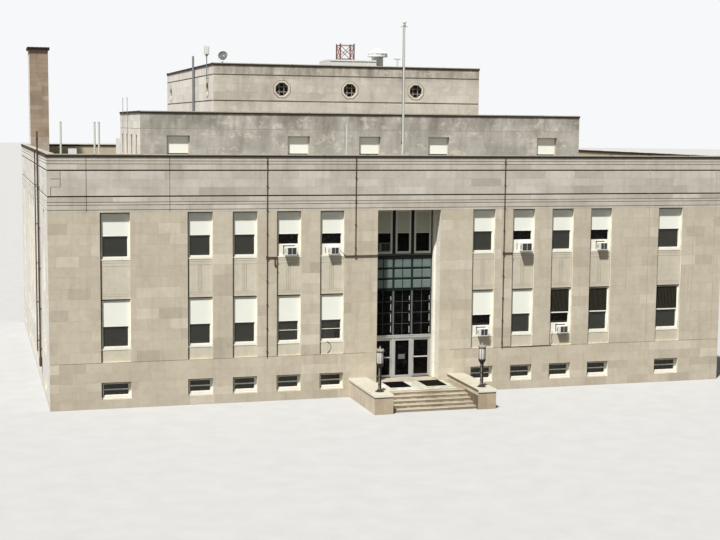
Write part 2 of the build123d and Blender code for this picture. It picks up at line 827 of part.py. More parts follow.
# Lanterns on the cheek walls: a foot, four rods round a core, a glass drum and a pointed cap
lantern_x = cheek_inner + cheek_width / 2
lantern_y = cheek_front + lantern_front_gap
with BuildPart() as entrance_lanterns:
    for side in (-1, 1):
        rod_low = cheek_top + lantern_base_height + lantern_collar_height
        stages = (
            (lantern_base_height, lantern_base_radius, lantern_base_radius),
            (lantern_collar_height, lantern_base_radius, lantern_collar_radius),
            (lantern_shaft_height, lantern_core_radius, lantern_core_radius),
            (lantern_cup_height, lantern_cup_radius, lantern_cup_radius),
            (lantern_glass_height, lantern_glass_radius, lantern_glass_radius),
            (lantern_cap_height, lantern_base_radius, lantern_base_radius),
            (lantern_roof_height, lantern_base_radius, lantern_core_radius),
            (lantern_finial_height, lantern_finial_radius, lantern_finial_radius),
        )
        stack_bars(side * lantern_x, lantern_y, cheek_top, stages, rod_sides)
        with BuildSketch(Plane.XY.offset(rod_low)) as rods:
            with Locations((side * lantern_x, lantern_y)):
                with PolarLocations(lantern_rod_spacing, 4):
                    RegularPolygon(lantern_rod_radius, rod_sides)
        extrude(rods.sketch, amount=lantern_shaft_height)
entrance_lanterns.part.label = "entrance_lanterns"
export_step(entrance_lanterns.part, "parts/entrance_lanterns.step")

# Second tier
tier2_front_plane = Plane(origin=(0, tier2_front, 0), x_dir=(1, 0, 0), z_dir=(0, -1, 0))
tier2_left_plane = Plane(origin=(-tier2_half_width, 0, 0), x_dir=(0, -1, 0), z_dir=(-1, 0, 0))
tier2_right_plane = Plane(origin=(tier2_half_width, 0, 0), x_dir=(0, 1, 0), z_dir=(1, 0, 0))
tier2_sill = main_roof_top + tier2_sill_above_roof
tier2_head = tier2_sill + tier2_window_height
tier2_ledge = tier2_top - tier2_ledge_drop
tier2_end_x = tier2_half_width - tier2_end_window_inset
tier2_centres = [-tier2_end_x, -first_bay_x, 0, first_bay_x, tier2_end_x]
tier2_side_centres = [tier2_front + tier2_side_first + bay_pitch * i for i in range(tier2_side_windows)]


def tier2_holes(centres, width):
    """Window openings of one row."""
    return [(x - width / 2, x + width / 2, tier2_sill, tier2_head) for x in centres]


tier2_front_holes = tier2_holes(tier2_centres, tier2_window_width)
tier2_right_holes = tier2_holes(tier2_side_centres, tier2_side_window_width)
tier2_left_holes = tier2_holes([-y for y in tier2_side_centres], tier2_side_window_width)

with BuildPart() as tier2_front_wall:
    raise_boxes(
        tier2_front_plane, [(-tier2_half_width, tier2_half_width, main_roof_top, tier2_wall_top)], 0, wall
    )
    raise_boxes(tier2_front_plane, tier2_front_holes, 0, wall, mode=Mode.SUBTRACT)
    cut_courses(
        tier2_front_plane, -tier2_half_width, tier2_half_width, (tier2_ledge,), groove_width, groove_depth
    )
tier2_front_wall.part.label = "tier2_front_wall"
export_step(tier2_front_wall.part, "parts/tier2_front_wall.step")

with BuildPart() as tier2_side_walls:
    for plane, side, holes in (
        (tier2_left_plane, -1, tier2_left_holes),
        (tier2_right_plane, 1, tier2_right_holes),
    ):
        low_y, high_y = sorted((side * (tier2_front + wall), side * tier2_rear))
        raise_boxes(plane, [(low_y, high_y, main_roof_top, tier2_wall_top)], 0, wall)
        raise_boxes(plane, holes, 0, wall, mode=Mode.SUBTRACT)
        cut_courses(plane, low_y, high_y, (tier2_ledge,), groove_width, groove_depth)
        low_x, high_x = sorted((side * tier3_half_width, side * (tier2_half_width - wall)))
        upright(low_x, high_x, tier2_rear - wall, tier2_rear, main_roof_top, tier2_wall_top)
tier2_side_walls.part.label = "tier2_side_walls"
export_step(tier2_side_walls.part, "parts/tier2_side_walls.step")

with BuildPart() as tier2_roof:
    upright(
        wall - tier2_half_width, tier2_half_width - wall, tier2_front + wall, tier2_rear - wall,
        tier2_roof_top - floor_slab, tier2_roof_top,
    )
tier2_roof.part.label = "tier2_roof"
export_step(tier2_roof.part, "parts/tier2_roof.step")

with BuildPart() as tier3_floor:
    upright(
        -tier3_inner_half, tier3_inner_half, tier2_rear - wall, main_depth - wall,
        tier2_roof_top - floor_slab, tier2_roof_top,
    )
tier3_floor.part.label = "tier3_floor"
export_step(tier3_floor.part, "parts/tier3_floor.step")

# Third tier, with octagonal windows
tier3_front_plane = Plane(origin=(0, tier3_front, 0), x_dir=(1, 0, 0), z_dir=(0, -1, 0))
tier3_left_plane = Plane(origin=(-tier3_half_width, 0, 0), x_dir=(0, -1, 0), z_dir=(-1, 0, 0))
tier3_right_plane = Plane(origin=(tier3_half_width, 0, 0), x_dir=(0, 1, 0), z_dir=(1, 0, 0))
tier3_window_level = tier2_roof_top + octagon_rise
tier3_centres = [-first_bay_x, 0, first_bay_x]
tier3_side_y = [tier3_front + octagon_side_insets[0], main_depth - octagon_side_insets[1]]
tier3_grooves = (tier3_window_level - tier3_lower_groove_drop, tier3_window_level + tier3_upper_groove_rise)
octagon_turn = 22.5
octagon_corner = 1 / cos(radians(octagon_turn))


def octagons(plane, centres, across, near, far, mode=Mode.ADD):
    """Octagonal prisms behind a face; across is half the width over the flats."""
    with BuildSketch(plane.offset(-far)) as profile:
        with Locations(*[(x, tier3_window_level) for x in centres]):
            RegularPolygon(across * octagon_corner, 8, rotation=octagon_turn)
    extrude(profile.sketch, amount=far - near, mode=mode)


with BuildPart() as tier3_front_wall:
    raise_boxes(
        tier3_front_plane, [(-tier3_half_width, tier3_half_width, tier2_roof_top, tier3_wall_top)], 0, wall
    )
    octagons(tier3_front_plane, tier3_centres, octagon_outer, 0, wall, mode=Mode.SUBTRACT)
    cut_courses(
        tier3_front_plane, -tier3_half_width, tier3_half_width, tier3_grooves, groove_width, groove_depth
    )
tier3_front_wall.part.label = "tier3_front_wall"
export_step(tier3_front_wall.part, "parts/tier3_front_wall.step")

with BuildPart() as tier3_side_walls:
    for plane, side in ((tier3_left_plane, -1), (tier3_right_plane, 1)):
        low_y, high_y = sorted((side * (tier3_front + wall), side * (main_depth - wall)))
        raise_boxes(plane, [(low_y, high_y, tier2_roof_top, tier3_wall_top)], 0, wall)
        rear_low, rear_high = sorted((side * (tier2_rear - wall), side * (main_depth - wall)))
        raise_boxes(plane, [(rear_low, rear_high, main_roof_top, tier2_roof_top)], 0, wall)
        octagons(plane, [side * y for y in tier3_side_y], octagon_outer, 0, wall, mode=Mode.SUBTRACT)
        cut_courses(plane, low_y, high_y, tier3_grooves, groove_width, groove_depth)
tier3_side_walls.part.label = "tier3_side_walls"
export_step(tier3_side_walls.part, "parts/tier3_side_walls.step")

with BuildPart() as tier3_rear_wall:
    raise_boxes(rear_face, [(-tier3_half_width, tier3_half_width, wall_top, tier3_wall_top)], 0, wall)
    octagons(rear_face, tier3_centres, octagon_outer, 0, wall, mode=Mode.SUBTRACT)
    cut_courses(rear_face, -tier3_half_width, tier3_half_width, tier3_grooves, groove_width, groove_depth)
tier3_rear_wall.part.label = "tier3_rear_wall"
export_step(tier3_rear_wall.part, "parts/tier3_rear_wall.step")

with BuildPart() as tier3_roof:
    upright(
        -tier3_inner_half, tier3_inner_half, tier3_front + wall, main_depth - wall,
        tier3_roof_top - floor_slab, tier3_roof_top,
    )
tier3_roof.part.label = "tier3_roof"
export_step(tier3_roof.part, "parts/tier3_roof.step")

with BuildPart() as octagon_windows:
    for plane, centres in (
        (tier3_front_plane, tier3_centres),
        (tier3_left_plane, [-y for y in tier3_side_y]),
        (tier3_right_plane, tier3_side_y),
        (rear_face, tier3_centres),
    ):
        octagons(plane, centres, octagon_outer, sash_setback, glass_back)
        octagons(plane, centres, octagon_inner, sash_setback, glass_back - glass_sheet, mode=Mode.SUBTRACT)
octagon_windows.part.label = "octagon_windows"
export_step(octagon_windows.part, "parts/octagon_windows.step")

with BuildPart() as tier2_windows:
    for plane, holes in (
        (tier2_front_plane, tier2_front_holes),
        (tier2_left_plane, tier2_left_holes),
        (tier2_right_plane, tier2_right_holes),
    ):
        raise_boxes(plane, holes, sash_setback, glass_back)
        openings = [
            (low_x + sash_bar, high_x - sash_bar, sill + sash_bar, head - sash_bar)
            for low_x, high_x, sill, head in holes
        ]
        raise_boxes(plane, openings, sash_setback, glass_back - glass_sheet, mode=Mode.SUBTRACT)
tier2_windows.part.label = "tier2_windows"
export_step(tier2_windows.part, "parts/tier2_windows.step")

# Chimney against the left wall, with an open flue
chimney_low_x = -inner_half_width + coping_overhang
chimney_high_x = chimney_low_x + chimney_width
chimney_rear_y = main_depth - chimney_rear_gap
chimney_front_y = chimney_rear_y - chimney_depth
chimney_top = main_roof_top + chimney_height
shaft_top = chimney_top - chimney_cap_height


def flue(low_z, high_z):
    """The flue, cut through a piece of the chimney."""
    upright(
        chimney_low_x + chimney_wall, chimney_high_x - chimney_wall,
        chimney_front_y + chimney_wall, chimney_rear_y - chimney_wall, low_z, high_z, mode=Mode.SUBTRACT,
    )


with BuildPart() as chimney:
    upright(chimney_low_x, chimney_high_x, chimney_front_y, chimney_rear_y, main_roof_top, shaft_top)
    flue(main_roof_top, shaft_top)
chimney.part.label = "chimney"
export_step(chimney.part, "parts/chimney.step")

with BuildPart() as chimney_cap:
    upright(
        chimney_low_x - chimney_cap_lip, chimney_high_x + chimney_cap_lip,
        chimney_front_y - chimney_cap_lip, chimney_rear_y + chimney_cap_lip, shaft_top, chimney_top,
    )
    flue(shaft_top, chimney_top)
chimney_cap.part.label = "chimney_cap"
export_step(chimney_cap.part, "parts/chimney_cap.step")

# Flagpole behind the parapet, with a ball and a small arm at its head
flagpole_y = wall + flagpole_roof_gap
pole_length = flagpole_height - flagpole_foot_height - flagpole_ball_height
with BuildPart() as flagpole:
    stages = (
        (flagpole_foot_height, flagpole_foot_radius, flagpole_foot_radius),
        (pole_length, flagpole_radius, flagpole_tip_radius),
        (flagpole_ball_height / 2, flagpole_ball_radius, flagpole_ball_radius),
        (flagpole_ball_height / 2, flagpole_ball_radius, flagpole_tip_radius),
    )
    stack_bars(flagpole_x, flagpole_y, main_roof_top, stages, bar_sides)
    arm_z = main_roof_top + flagpole_height - flagpole_arm_drop
    upright(
        flagpole_x - flagpole_arm_length / 2, flagpole_x + flagpole_arm_length / 2,
        flagpole_y - flagpole_arm_width / 2, flagpole_y + flagpole_arm_width / 2,
        arm_z, arm_z + flagpole_arm_width,
    )
flagpole.part.label = "flagpole"
export_step(flagpole.part, "parts/flagpole.step")

with BuildPart() as roof_posts:
    post_places = [(front_post[0], wall + front_post[1])]
    post_places += [(-inner_half_width + x, wall + y) for x, y in corner_posts]
    with BuildSketch(Plane.XY.offset(main_roof_top)):
        with Locations(*post_places):
            RegularPolygon(post_radius, bar_sides)
    extrude(amount=post_height)
roof_posts.part.label = "roof_posts"
export_step(roof_posts.part, "parts/roof_posts.step")

# Gear on the third tier's roof
curb_top = tier3_roof_top + curb_height
with BuildPart() as roof_curb:
    upright(
        curb_x - curb_width / 2, curb_x + curb_width / 2, gear_y - curb_depth / 2, gear_y + curb_depth / 2,
        tier3_roof_top, curb_top,
    )
roof_curb.part.label = "roof_curb"
export_step(roof_curb.part, "parts/roof_curb.step")


def cross_brace(plane):
    """Two crossing flat bars between a pair of legs, on one side of the lattice."""
    low_z = curb_top + stub_rail_margin + stub_brace / 2
    high_z = curb_top + stub_height - stub_rail_margin - stub_brace / 2
    with BuildSketch(plane) as braces:
        for end in (-1, 1):
            with BuildLine():
                Line((-end * stub_side / 2, low_z), (end * stub_side / 2, high_z))
            trace(line_width=stub_brace)
    extrude(braces.sketch, amount=stub_brace / 2, both=True)


with BuildPart() as lattice_stub:
    with BuildSketch(Plane.XY.offset(curb_top)):
        with Locations((stub_x, gear_y)):
            with GridLocations(stub_side, stub_side, 2, 2):
                Rectangle(stub_leg, stub_leg)
    extrude(amount=stub_height)
    for rail_z in (curb_top + stub_rail_margin, curb_top + stub_height - stub_rail_margin):
        with BuildSketch(Plane.XY.offset(rail_z - stub_brace / 2)):
            with Locations((stub_x, gear_y)):
                Rectangle(stub_side + stub_brace, stub_side + stub_brace)
                Rectangle(stub_side - stub_brace, stub_side - stub_brace, mode=Mode.SUBTRACT)
        extrude(amount=stub_brace)
    for side in (-1, 1):
        across = Plane(origin=(stub_x, gear_y + side * stub_side / 2, 0), x_dir=(1, 0, 0), z_dir=(0, -1, 0))
        along = Plane(origin=(stub_x + side * stub_side / 2, gear_y, 0), x_dir=(0, 1, 0), z_dir=(1, 0, 0))
        cross_brace(across)
        cross_brace(along)
lattice_stub.part.label = "lattice_stub"
export_step(lattice_stub.part, "parts/lattice_stub.step")

# Hooded vent and pipe on the third tier, and two square stacks on the main roof
with BuildPart() as roof_vents:
    stages = (
        (vent_neck_height, vent_neck_radius, vent_neck_radius),
        (vent_hood_height, vent_hood_radius, vent_hood_radius),
        (vent_cone_height, vent_hood_radius, vent_top_radius),
    )
    stack_bars(vent_x, gear_y, tier3_roof_top, stages, bar_sides)
    sided_bar(Plane.XY.offset(tier3_roof_top), pipe_x, gear_y, pipe_radius, pipe_height, bar_sides)
    cap_start = (pipe_x - pipe_cap_length / 2, gear_y, tier3_roof_top + pipe_height)
    cap_plane = Plane(origin=cap_start, x_dir=(0, 1, 0), z_dir=(1, 0, 0))
    sided_bar(cap_plane, 0, 0, pipe_radius, pipe_cap_length, bar_sides)
    stack_x = -tier2_half_width - stack_side_gap
    stack_y = tier2_front - stack_front_gap
    upright(
        stack_x - stack_width, stack_x, stack_y - stack_width, stack_y,
        main_roof_top, main_roof_top + stack_height,
    )
    low_x = -inner_half_width + low_stack_inset
    low_y = wall + low_stack_roof_gap
    upright(
        low_x, low_x + low_stack_width, low_y, low_y + low_stack_width,
        main_roof_top, main_roof_top + low_stack_height,
    )
roof_vents.part.label = "roof_vents"
export_step(roof_vents.part, "parts/roof_vents.step")

mast_x = -tier3_half_width - mast_stand
mast_y = tier2_rear + mast_rear_gap
mast_low = tier3_top - mast_below
antenna_y = tier3_front + antenna_front_gap
antenna_low = tier3_top - antenna_below
antenna_top = tier3_top + antenna_above
dish_x = -tier3_half_width + dish_inset
dish_y = tier3_front + dish_front_gap
dish_z = tier3_roof_top + dish_level
whip_x = -tier2_half_width - whip_stand
whip_length = tier2_top + whip_above - main_roof_top


def wall_brackets(wall_x, stand, y, reach_y, levels):
    """Flat arms from a left wall to a bar that stands off it."""
    for level in levels:
        upright(wall_x - stand, wall_x, y - reach_y, y + reach_y, level, level + bracket_height)


# Twin mast and antenna on the third tier's left wall, whips on the second tier's, and a roof dish
with BuildPart() as roof_mast:
    mast_base = Plane.XY.offset(mast_low)
    for y in (mast_y - mast_pitch / 2, mast_y + mast_pitch / 2):
        sided_bar(mast_base, mast_x, y, mast_radius, mast_below + mast_above, bar_sides)
    antenna_base = Plane.XY.offset(antenna_low)
    sided_bar(antenna_base, mast_x, antenna_y, antenna_radius, antenna_below + antenna_above, bar_sides)
    upright(
        mast_x - antenna_panel_width / 2, mast_x + antenna_panel_width / 2,
        antenna_y - antenna_panel_width / 2, antenna_y + antenna_panel_width / 2,
        antenna_top - antenna_panel_height, antenna_top,
    )
    upper_arm = tier3_wall_top - 2 * bracket_height
    mast_arms = (mast_low + bracket_height, upper_arm)
    wall_brackets(-tier3_half_width, mast_stand, mast_y, mast_pitch / 2 + mast_radius, mast_arms)
    antenna_arms = (antenna_low + bracket_height, upper_arm)
    wall_brackets(-tier3_half_width, mast_stand, antenna_y, antenna_radius, antenna_arms)
    for gap in whip_gaps:
        whip_y = tier2_front + gap
        whip_base = Plane.XY.offset(main_roof_top)
        sided_bar(whip_base, whip_x, whip_y, whip_radius, whip_length, rod_sides)
        whip_arms = (main_roof_top + bracket_height, tier2_wall_top - 2 * bracket_height)
        wall_brackets(-tier2_half_width, whip_stand, whip_y, whip_radius, whip_arms)
    upright(
        dish_x - dish_post / 2, dish_x + dish_post / 2, dish_y - dish_post / 2, dish_y + dish_post / 2,
        tier3_roof_top, dish_z,
    )
    dish_plane = Plane(origin=(dish_x, dish_y - dish_post / 2, dish_z), x_dir=(1, 0, 0), z_dir=(0, -1, 0))
    sided_bar(dish_plane, 0, 0, dish_radius, dish_thickness, bar_sides)
roof_mast.part.label = "roof_mast"
export_step(roof_mast.part, "parts/roof_mast.step")

# Window air conditioners: each case rests on a sash's bottom rail, with a sunk grille in its face
unit_places = (
    (-front_bay_x[0], upper_sill + sill_height, small_unit_width, unit_proud),
    (-front_bay_x[1], upper_sill + sill_height, small_unit_width, unit_proud),
    (front_bay_x[1], upper_sill + sill_height, large_unit_width, large_unit_proud),
    (front_bay_x[3], upper_sill + sill_height, small_unit_width, unit_proud),
    (front_bay_x[0], lower_sill + sill_height, small_unit_width, unit_proud),
    (front_bay_x[2], lower_sill + sill_height, small_unit_width, unit_proud),
)
portal_unit_x = (reveal_bays[0][0] + reveal_bays[0][1]) / 2


def unit_case(x, low_z, width, near, far):
    """One case, with a narrow grille and a wide one at its right."""
    low_x = x - width / 2
    high_x = x + width / 2
    high_z = low_z + unit_height
    split = high_x - width * grille_share
    raise_boxes(front_face, [(low_x, high_x, low_z, high_z)], near, far)
    grilles = [
        (low_x + grille_margin, split, low_z + grille_margin, high_z - grille_margin),
        (split + grille_margin, high_x - grille_margin, low_z + grille_margin, high_z - grille_margin),
    ]
    raise_boxes(front_face, grilles, near, near + grille_depth, mode=Mode.SUBTRACT)


with BuildPart() as air_conditioners:
    for x, low_z, width, proud in unit_places:
        unit_case(x, low_z, width, -proud, glass_back)
    portal_unit_front = glazing_setback - unit_proud
    unit_case(portal_unit_x, upper_sill + sash_bar, small_unit_width, portal_unit_front, pane_front)
air_conditioners.part.label = "air_conditioners"
export_step(air_conditioners.part, "parts/air_conditioners.step")

# Conduits down the middle of three piers, with branches to the windows and the portal
first_pier_x = (pier_half_width + first_bay_x - bay_width / 2) / 2
left_conduit_x = -(front_bay_x[1] + front_bay_x[2]) / 2
right_conduit_x = (front_bay_x[0] + front_bay_x[1]) / 2
branch_z = upper_sill + conduit_bend_rise


def branch(low_x, high_x):
    """A level run along the front at the branch height."""
    start = Plane(origin=(low_x, -conduit_radius, branch_z), x_dir=(0, 1, 0), z_dir=(1, 0, 0))
    sided_bar(start, 0, 0, conduit_radius, high_x - low_x, bar_sides)


with BuildPart() as conduits:
    for x, low_z in (
        (left_conduit_x, recess_bottom), (-first_pier_x, branch_z), (right_conduit_x, recess_bottom),
    ):
        sided_bar(Plane.XY.offset(low_z), x, -conduit_radius, conduit_radius, wall_top - low_z, bar_sides)
    branch(left_conduit_x, -front_bay_x[1] - bay_width / 2)
    branch(-front_bay_x[0] + bay_width / 2, -portal_half_width)
    branch(right_conduit_x, front_bay_x[1] - bay_width / 2)
conduits.part.label = "conduits"
export_step(conduits.part, "parts/conduits.step")
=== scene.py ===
"""Looks of the town hall: coursed stone, windows with boards, the glazed portal and the roof gear."""
import json
import math
import random

import bmesh
import bpy
from mathutils import Matrix, Vector


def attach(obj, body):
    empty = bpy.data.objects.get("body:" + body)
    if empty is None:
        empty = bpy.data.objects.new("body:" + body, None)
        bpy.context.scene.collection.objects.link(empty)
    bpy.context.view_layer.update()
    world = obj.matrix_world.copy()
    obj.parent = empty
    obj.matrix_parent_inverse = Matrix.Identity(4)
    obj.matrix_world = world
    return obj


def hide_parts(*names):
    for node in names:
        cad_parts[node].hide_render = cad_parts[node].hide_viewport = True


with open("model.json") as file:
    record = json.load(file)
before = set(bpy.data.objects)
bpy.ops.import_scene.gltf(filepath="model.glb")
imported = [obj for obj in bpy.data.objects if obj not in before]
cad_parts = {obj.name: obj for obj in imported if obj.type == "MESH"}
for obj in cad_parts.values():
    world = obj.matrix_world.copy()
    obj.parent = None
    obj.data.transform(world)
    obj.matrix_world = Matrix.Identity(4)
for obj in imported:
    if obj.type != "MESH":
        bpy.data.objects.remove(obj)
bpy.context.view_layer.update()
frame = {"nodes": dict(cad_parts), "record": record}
nodes = frame["nodes"]

# Sizes of the solids that the pieces follow, in metres
HALF, DEPTH = 18.665, 30.8
RECESS, SASH = 0.12, 0.19
RECESS_LOW, HEAD = 2.33, 9.855
ROWS = ((0.46, 1.32), (2.93, 5.51), (7.45, HEAD))
BAY, END_BAY, PITCH = 1.287, 1.49, 2.305
BAYS_X = [4.22 + PITCH * i for i in range(4)]
SIDE_BAYS = [9.6375 + PITCH * i for i in range(6)]
ROOF, COPING, TIER2_COPING, TIER3_COPING = 12.05, 12.74, 14.96, 17.86
TIER2 = {"half": 13.2, "front": 7.46, "rear": 17.45}
TIER3 = {"half": 8.357, "front": 11.8, "rear": 30.8}
OCTAGON_Z = 16.37
PORTAL_HALF, REVEAL_HALF, PIER_HALF = 1.75, 1.65, 2.35
LIGHTS = ((-1.57, -0.6133), (-0.4333, 0.4333), (0.6133, 1.57))
FRAME = 1.05  # depth of the portal frame's face
LANDING, RISE, TREAD = 0.70, 0.14, 0.405
CHEEK_IN, CHEEK_OUT, CHEEK_LIP, CHEEK_FRONT = 2.25, 3.22, 3.25, -4.6
MAST_X, LEFT_PIPES_X = -8.467, -18.76
# Upright conduits on the front: where each stands and starts
CONDUITS = ((-7.6775, 2.6), (5.3725, 2.6), (-2.9633, 7.9))

rng = random.Random(11)


# Node materials
def linear(colour):
    """A colour as it looks on screen, 0 to 255, as the shader takes it."""
    out = [c / 255 for c in colour]
    return [c / 12.92 if c <= 0.04045 else ((c + 0.055) / 1.055) ** 2.4 for c in out] + [1.0]


def colour_of(value):
    """Four shader values from a grey level, a screen colour or a shader colour."""
    if not hasattr(value, "__len__"):
        return (value, value, value, 1)
    return value if len(value) == 4 else linear(value)


def scaled(stops, factors, top=(9, 9, 9)):
    """A ramp's stops with their colours made lighter or darker, up to a limit for each channel."""
    return [(place, [min(c * k, t) for c, k, t in zip(linear(colour), factors, top)] + [1])
            for place, colour in stops]


class Nodes:
    """Short names for the shader nodes of one material."""

    def __init__(self, name):
        self.material = bpy.data.materials.new(name)
        self.material.use_nodes = True
        self.tree = self.material.node_tree
        self.shader = self.tree.nodes["Principled BSDF"]
        self.where = self.tree.nodes.new("ShaderNodeTexCoord").outputs["Object"]

    def put(self, value, socket):
        """Links a socket, or sets a number or a colour."""
        if hasattr(value, "type"):
            self.tree.links.new(value, socket)
        else:
            socket.default_value = colour_of(value) if socket.type == "RGBA" else value

    def add(self, kind, output, *inputs, **settings):
        """A new node with its settings and inputs, by name or number. Gives one of its outputs."""
        node = self.tree.nodes.new("ShaderNode" + kind)
        for key, value in settings.items():
            setattr(node, key, value)
        for key, value in inputs:
            self.put(value, node.inputs[key])
        return node.outputs[output]

    def stretch(self, scale):
        return self.add("Mapping", "Vector", ("Scale", scale), ("Vector", self.where))

    def noise(self, scale, detail=4, rough=0.55, vector=None):
        return self.add("TexNoise", "Fac", ("Scale", scale), ("Detail", detail), ("Roughness", rough),
                        ("Vector", vector or self.where))

    def attribute(self, name):
        return self.add("Attribute", "Fac", attribute_name=name)

    def ramp(self, value, stops):
        node = self.tree.nodes.new("ShaderNodeValToRGB")
        bar = node.color_ramp
        while len(bar.elements) < len(stops):
            bar.elements.new(0.5)
        for element, (place, colour) in zip(bar.elements, stops):
            element.position = place
            element.color = colour_of(colour)
        self.put(value, node.inputs["Fac"])
        return node.outputs["Color"]

    def mix(self, amount, first, second, mode="MIX"):
        return self.add("Mix", 2, (0, amount), (6, first), (7, second), data_type="RGBA", blend_type=mode)

    def math(self, first, second, operation="MULTIPLY"):
        return self.add("Math", 0, (0, first), (1, second), operation=operation)

    def height(self):
        return self.add("SeparateXYZ", "Z", (0, self.where))

    def bump(self, value, strength, distance):
        normal = self.add("Bump", "Normal", ("Strength", strength), ("Distance", distance), ("Height", value))
        self.put(normal, self.shader.inputs["Normal"])

    def finish(self, colour, rough, metallic=0.0, specular=0.5):
        for key, value in (("Base Color", colour), ("Roughness", rough), ("Metallic", metallic),
                           ("Specular IOR Level", specular)):
            self.put(value, self.shader.inputs[key])
        return self.material


def stone(name, stops, stain, stain_amount, streaks=0.3, grain=55, relief=0.5, damp=()):
    """Sawn stone: a colour for each block, cloudy weathering, dark runs and a fine grain.
    Damp lists levels between 12 and 18 m, with how far the soot under a coping has spread there."""
    n = Nodes(name)
    colour = n.ramp(n.attribute("tint"), stops)
    if damp:
        level = n.math(n.math(n.height(), 12.0, "SUBTRACT"), 6.0, "DIVIDE")
        under = n.ramp(level, [((z - 12.0) / 6.0, amount) for z, amount in damp])
        soot = n.ramp(n.noise(0.8, 6, 0.7, n.stretch((1.6, 1.6, 0.5))), ((0.36, 0.0), (0.62, 0.75)))
        colour = n.mix(n.math(under, soot), colour, stain)
    cloud = n.noise(0.55, 5, 0.6)
    colour = n.mix(n.ramp(cloud, ((0.42, 0.0), (0.72, stain_amount))), colour, stain)
    runs = n.noise(1.0, 5, 0.62, n.stretch((2.6, 2.6, 0.28)))
    colour = n.mix(n.ramp(runs, ((0.52, 0.0), (0.78, streaks))), colour, stain)
    if damp:
        bloom = n.ramp(n.noise(1.3, 7, 0.72, n.stretch((1.0, 1.0, 1.6))), ((0.55, 0.0), (0.62, 0.4)))
        colour = n.mix(bloom, colour, (232, 225, 210))
    patch = n.noise(3.2, 5, 0.6)
    colour = n.mix(0.35, colour, n.ramp(patch, ((0.3, 0.68), (0.7, 1.0))), "MULTIPLY")
    speck = n.noise(grain, 3, 0.7)
    colour = n.mix(0.3, colour, n.ramp(speck, ((0.35, 0.72), (0.65, 1.0))), "MULTIPLY")
    n.bump(n.math(speck, n.math(patch, 0.4), "ADD"), relief, 0.004)
    return n.finish(colour, n.ramp(patch, ((0.3, 0.78), (0.7, 0.94))), specular=0.06)


def paint(name, colour, chips, chip_amount=0.35, rough=0.5, scale=6.0, metallic=0.0, dirt=0.25, specular=0.15):
    """Old paint or enamel: chalky patches, cloudy grime and small chips."""
    n = Nodes(name)
    cloud = n.noise(scale * 0.35, 4)
    base = n.mix(dirt, colour, n.ramp(cloud, ((0.3, 0.62), (0.7, 1.0))), "MULTIPLY")
    wear = n.noise(scale * 4, 6, 0.7)
    base = n.mix(n.ramp(wear, ((0.62, 0.0), (0.70, chip_amount))), base, chips)
    runs = n.noise(scale * 0.3, 4, 0.6, n.stretch((5, 5, 0.5)))
    base = n.mix(n.ramp(runs, ((0.55, 0.0), (0.8, dirt))), base, chips)
    n.bump(wear, 0.25, 0.002)
    return n.finish(base, n.ramp(cloud, ((0.3, rough - 0.1), (0.7, rough + 0.15))), metallic, specular)


def metal(name, colour, rough=0.35, metallic=1.0):
    """Satin metal with fine scratches one way and dull, handled patches."""
    n = Nodes(name)
    scratches = n.noise(18, 4, 0.6, n.stretch((1, 1, 40)))
    dull = n.noise(2.2, 4)
    base = n.mix(0.5, colour, n.ramp(scratches, ((0.3, 0.72), (0.7, 1.0))), "MULTIPLY")
    base = n.mix(0.4, base, n.ramp(dull, ((0.35, 0.6), (0.7, 1.0))), "MULTIPLY")
    n.bump(scratches, 0.12, 0.001)
    return n.finish(base, n.ramp(dull, ((0.3, rough + 0.15), (0.7, rough - 0.08))), metallic)


def glass(name, colour, opacity, specular=0.5):
    """Window glass: dark, glossy, slightly wavy and dusty."""
    n = Nodes(name)
    wave = n.noise(1.1, 3)
    dust = n.noise(7, 5, 0.65)
    base = n.mix(n.ramp(dust, ((0.55, 0.0), (0.85, 0.25))), colour, (130, 130, 120))
    n.bump(wave, 0.12, 0.02)
    n.finish(base, n.ramp(dust, ((0.4, 0.04), (0.8, 0.16))), specular=specular)
    n.shader.inputs["Alpha"].default_value = opacity
    return n.material


# Colours of single stones, from the darkest to the palest
LIME = ((0.0, (160, 151, 134)), (0.08, (190, 181, 163)), (0.3, (206, 195, 175)), (0.55, (211, 201, 181)),
        (0.8, (217, 207, 188)), (1.0, (226, 217, 199)))
GREY = ((0.0, (186, 179, 166)), (0.1, (204, 197, 184)), (0.5, (214, 207, 194)), (0.8, (219, 212, 199)),
        (1.0, (226, 220, 207)))
CREAM = ((0.0, (160, 152, 135)), (0.1, (204, 196, 176)), (0.6, (214, 207, 188)), (1.0, (222, 216, 198)))
SOOT = ((12.0, 0.35), (13.6, 0.4), (14.1, 0.85), (14.82, 1.0), (14.9, 0.1), (16.9, 0.25), (17.3, 0.9),
        (17.75, 1.0))
m_stone = stone("stone_limestone", LIME, (150, 138, 118), 0.25)
m_frieze = stone("stone_frieze", scaled(LIME, (0.97, 1.02, 1.13)), (156, 149, 137), 0.4, 0.4)
m_cream = stone("stone_spandrel", CREAM, (176, 166, 146), 0.25, 0.25)
m_joint = stone("stone_wall_core", ((0.0, (188, 177, 156)), (1.0, (204, 193, 172))), (150, 140, 122), 0.3)
# Painted light: a paler stone for reveals, jambs and the cheeks' lips, to look sunlit from the left
m_lining_painted_light = stone("stone_reveals_painted_light", ((0.0, (234, 227, 209)), (1.0, (249, 244, 229))), (196, 186, 164), 0.2, 0.15)
m_grey = stone("stone_upper", GREY, (120, 113, 102), 0.3, 0.3, damp=SOOT)
m_grey2 = stone("stone_middle", scaled(GREY, (0.8, 0.82, 0.86)), (118, 112, 102), 0.5, 0.4, damp=SOOT)
# Painted light: paler copies of the stones for the left-facing walls, which face the sun
m_upper_left_painted_light = stone("stone_upper_left_painted_light", scaled(GREY, (1.3, 1.33, 1.42)), (150, 142, 128), 0.2, 0.25)
m_left_wall_painted_light = stone("stone_left_wall_painted_light", scaled(LIME, (1.6, 1.69, 1.92), (0.95, 0.94, 0.93)), (176, 164, 142), 0.25, 0.4)
m_grey_core = stone("stone_upper_core", ((0.0, (172, 165, 151)), (1.0, (190, 183, 169))), (124, 117, 106), 0.4, 0.4)
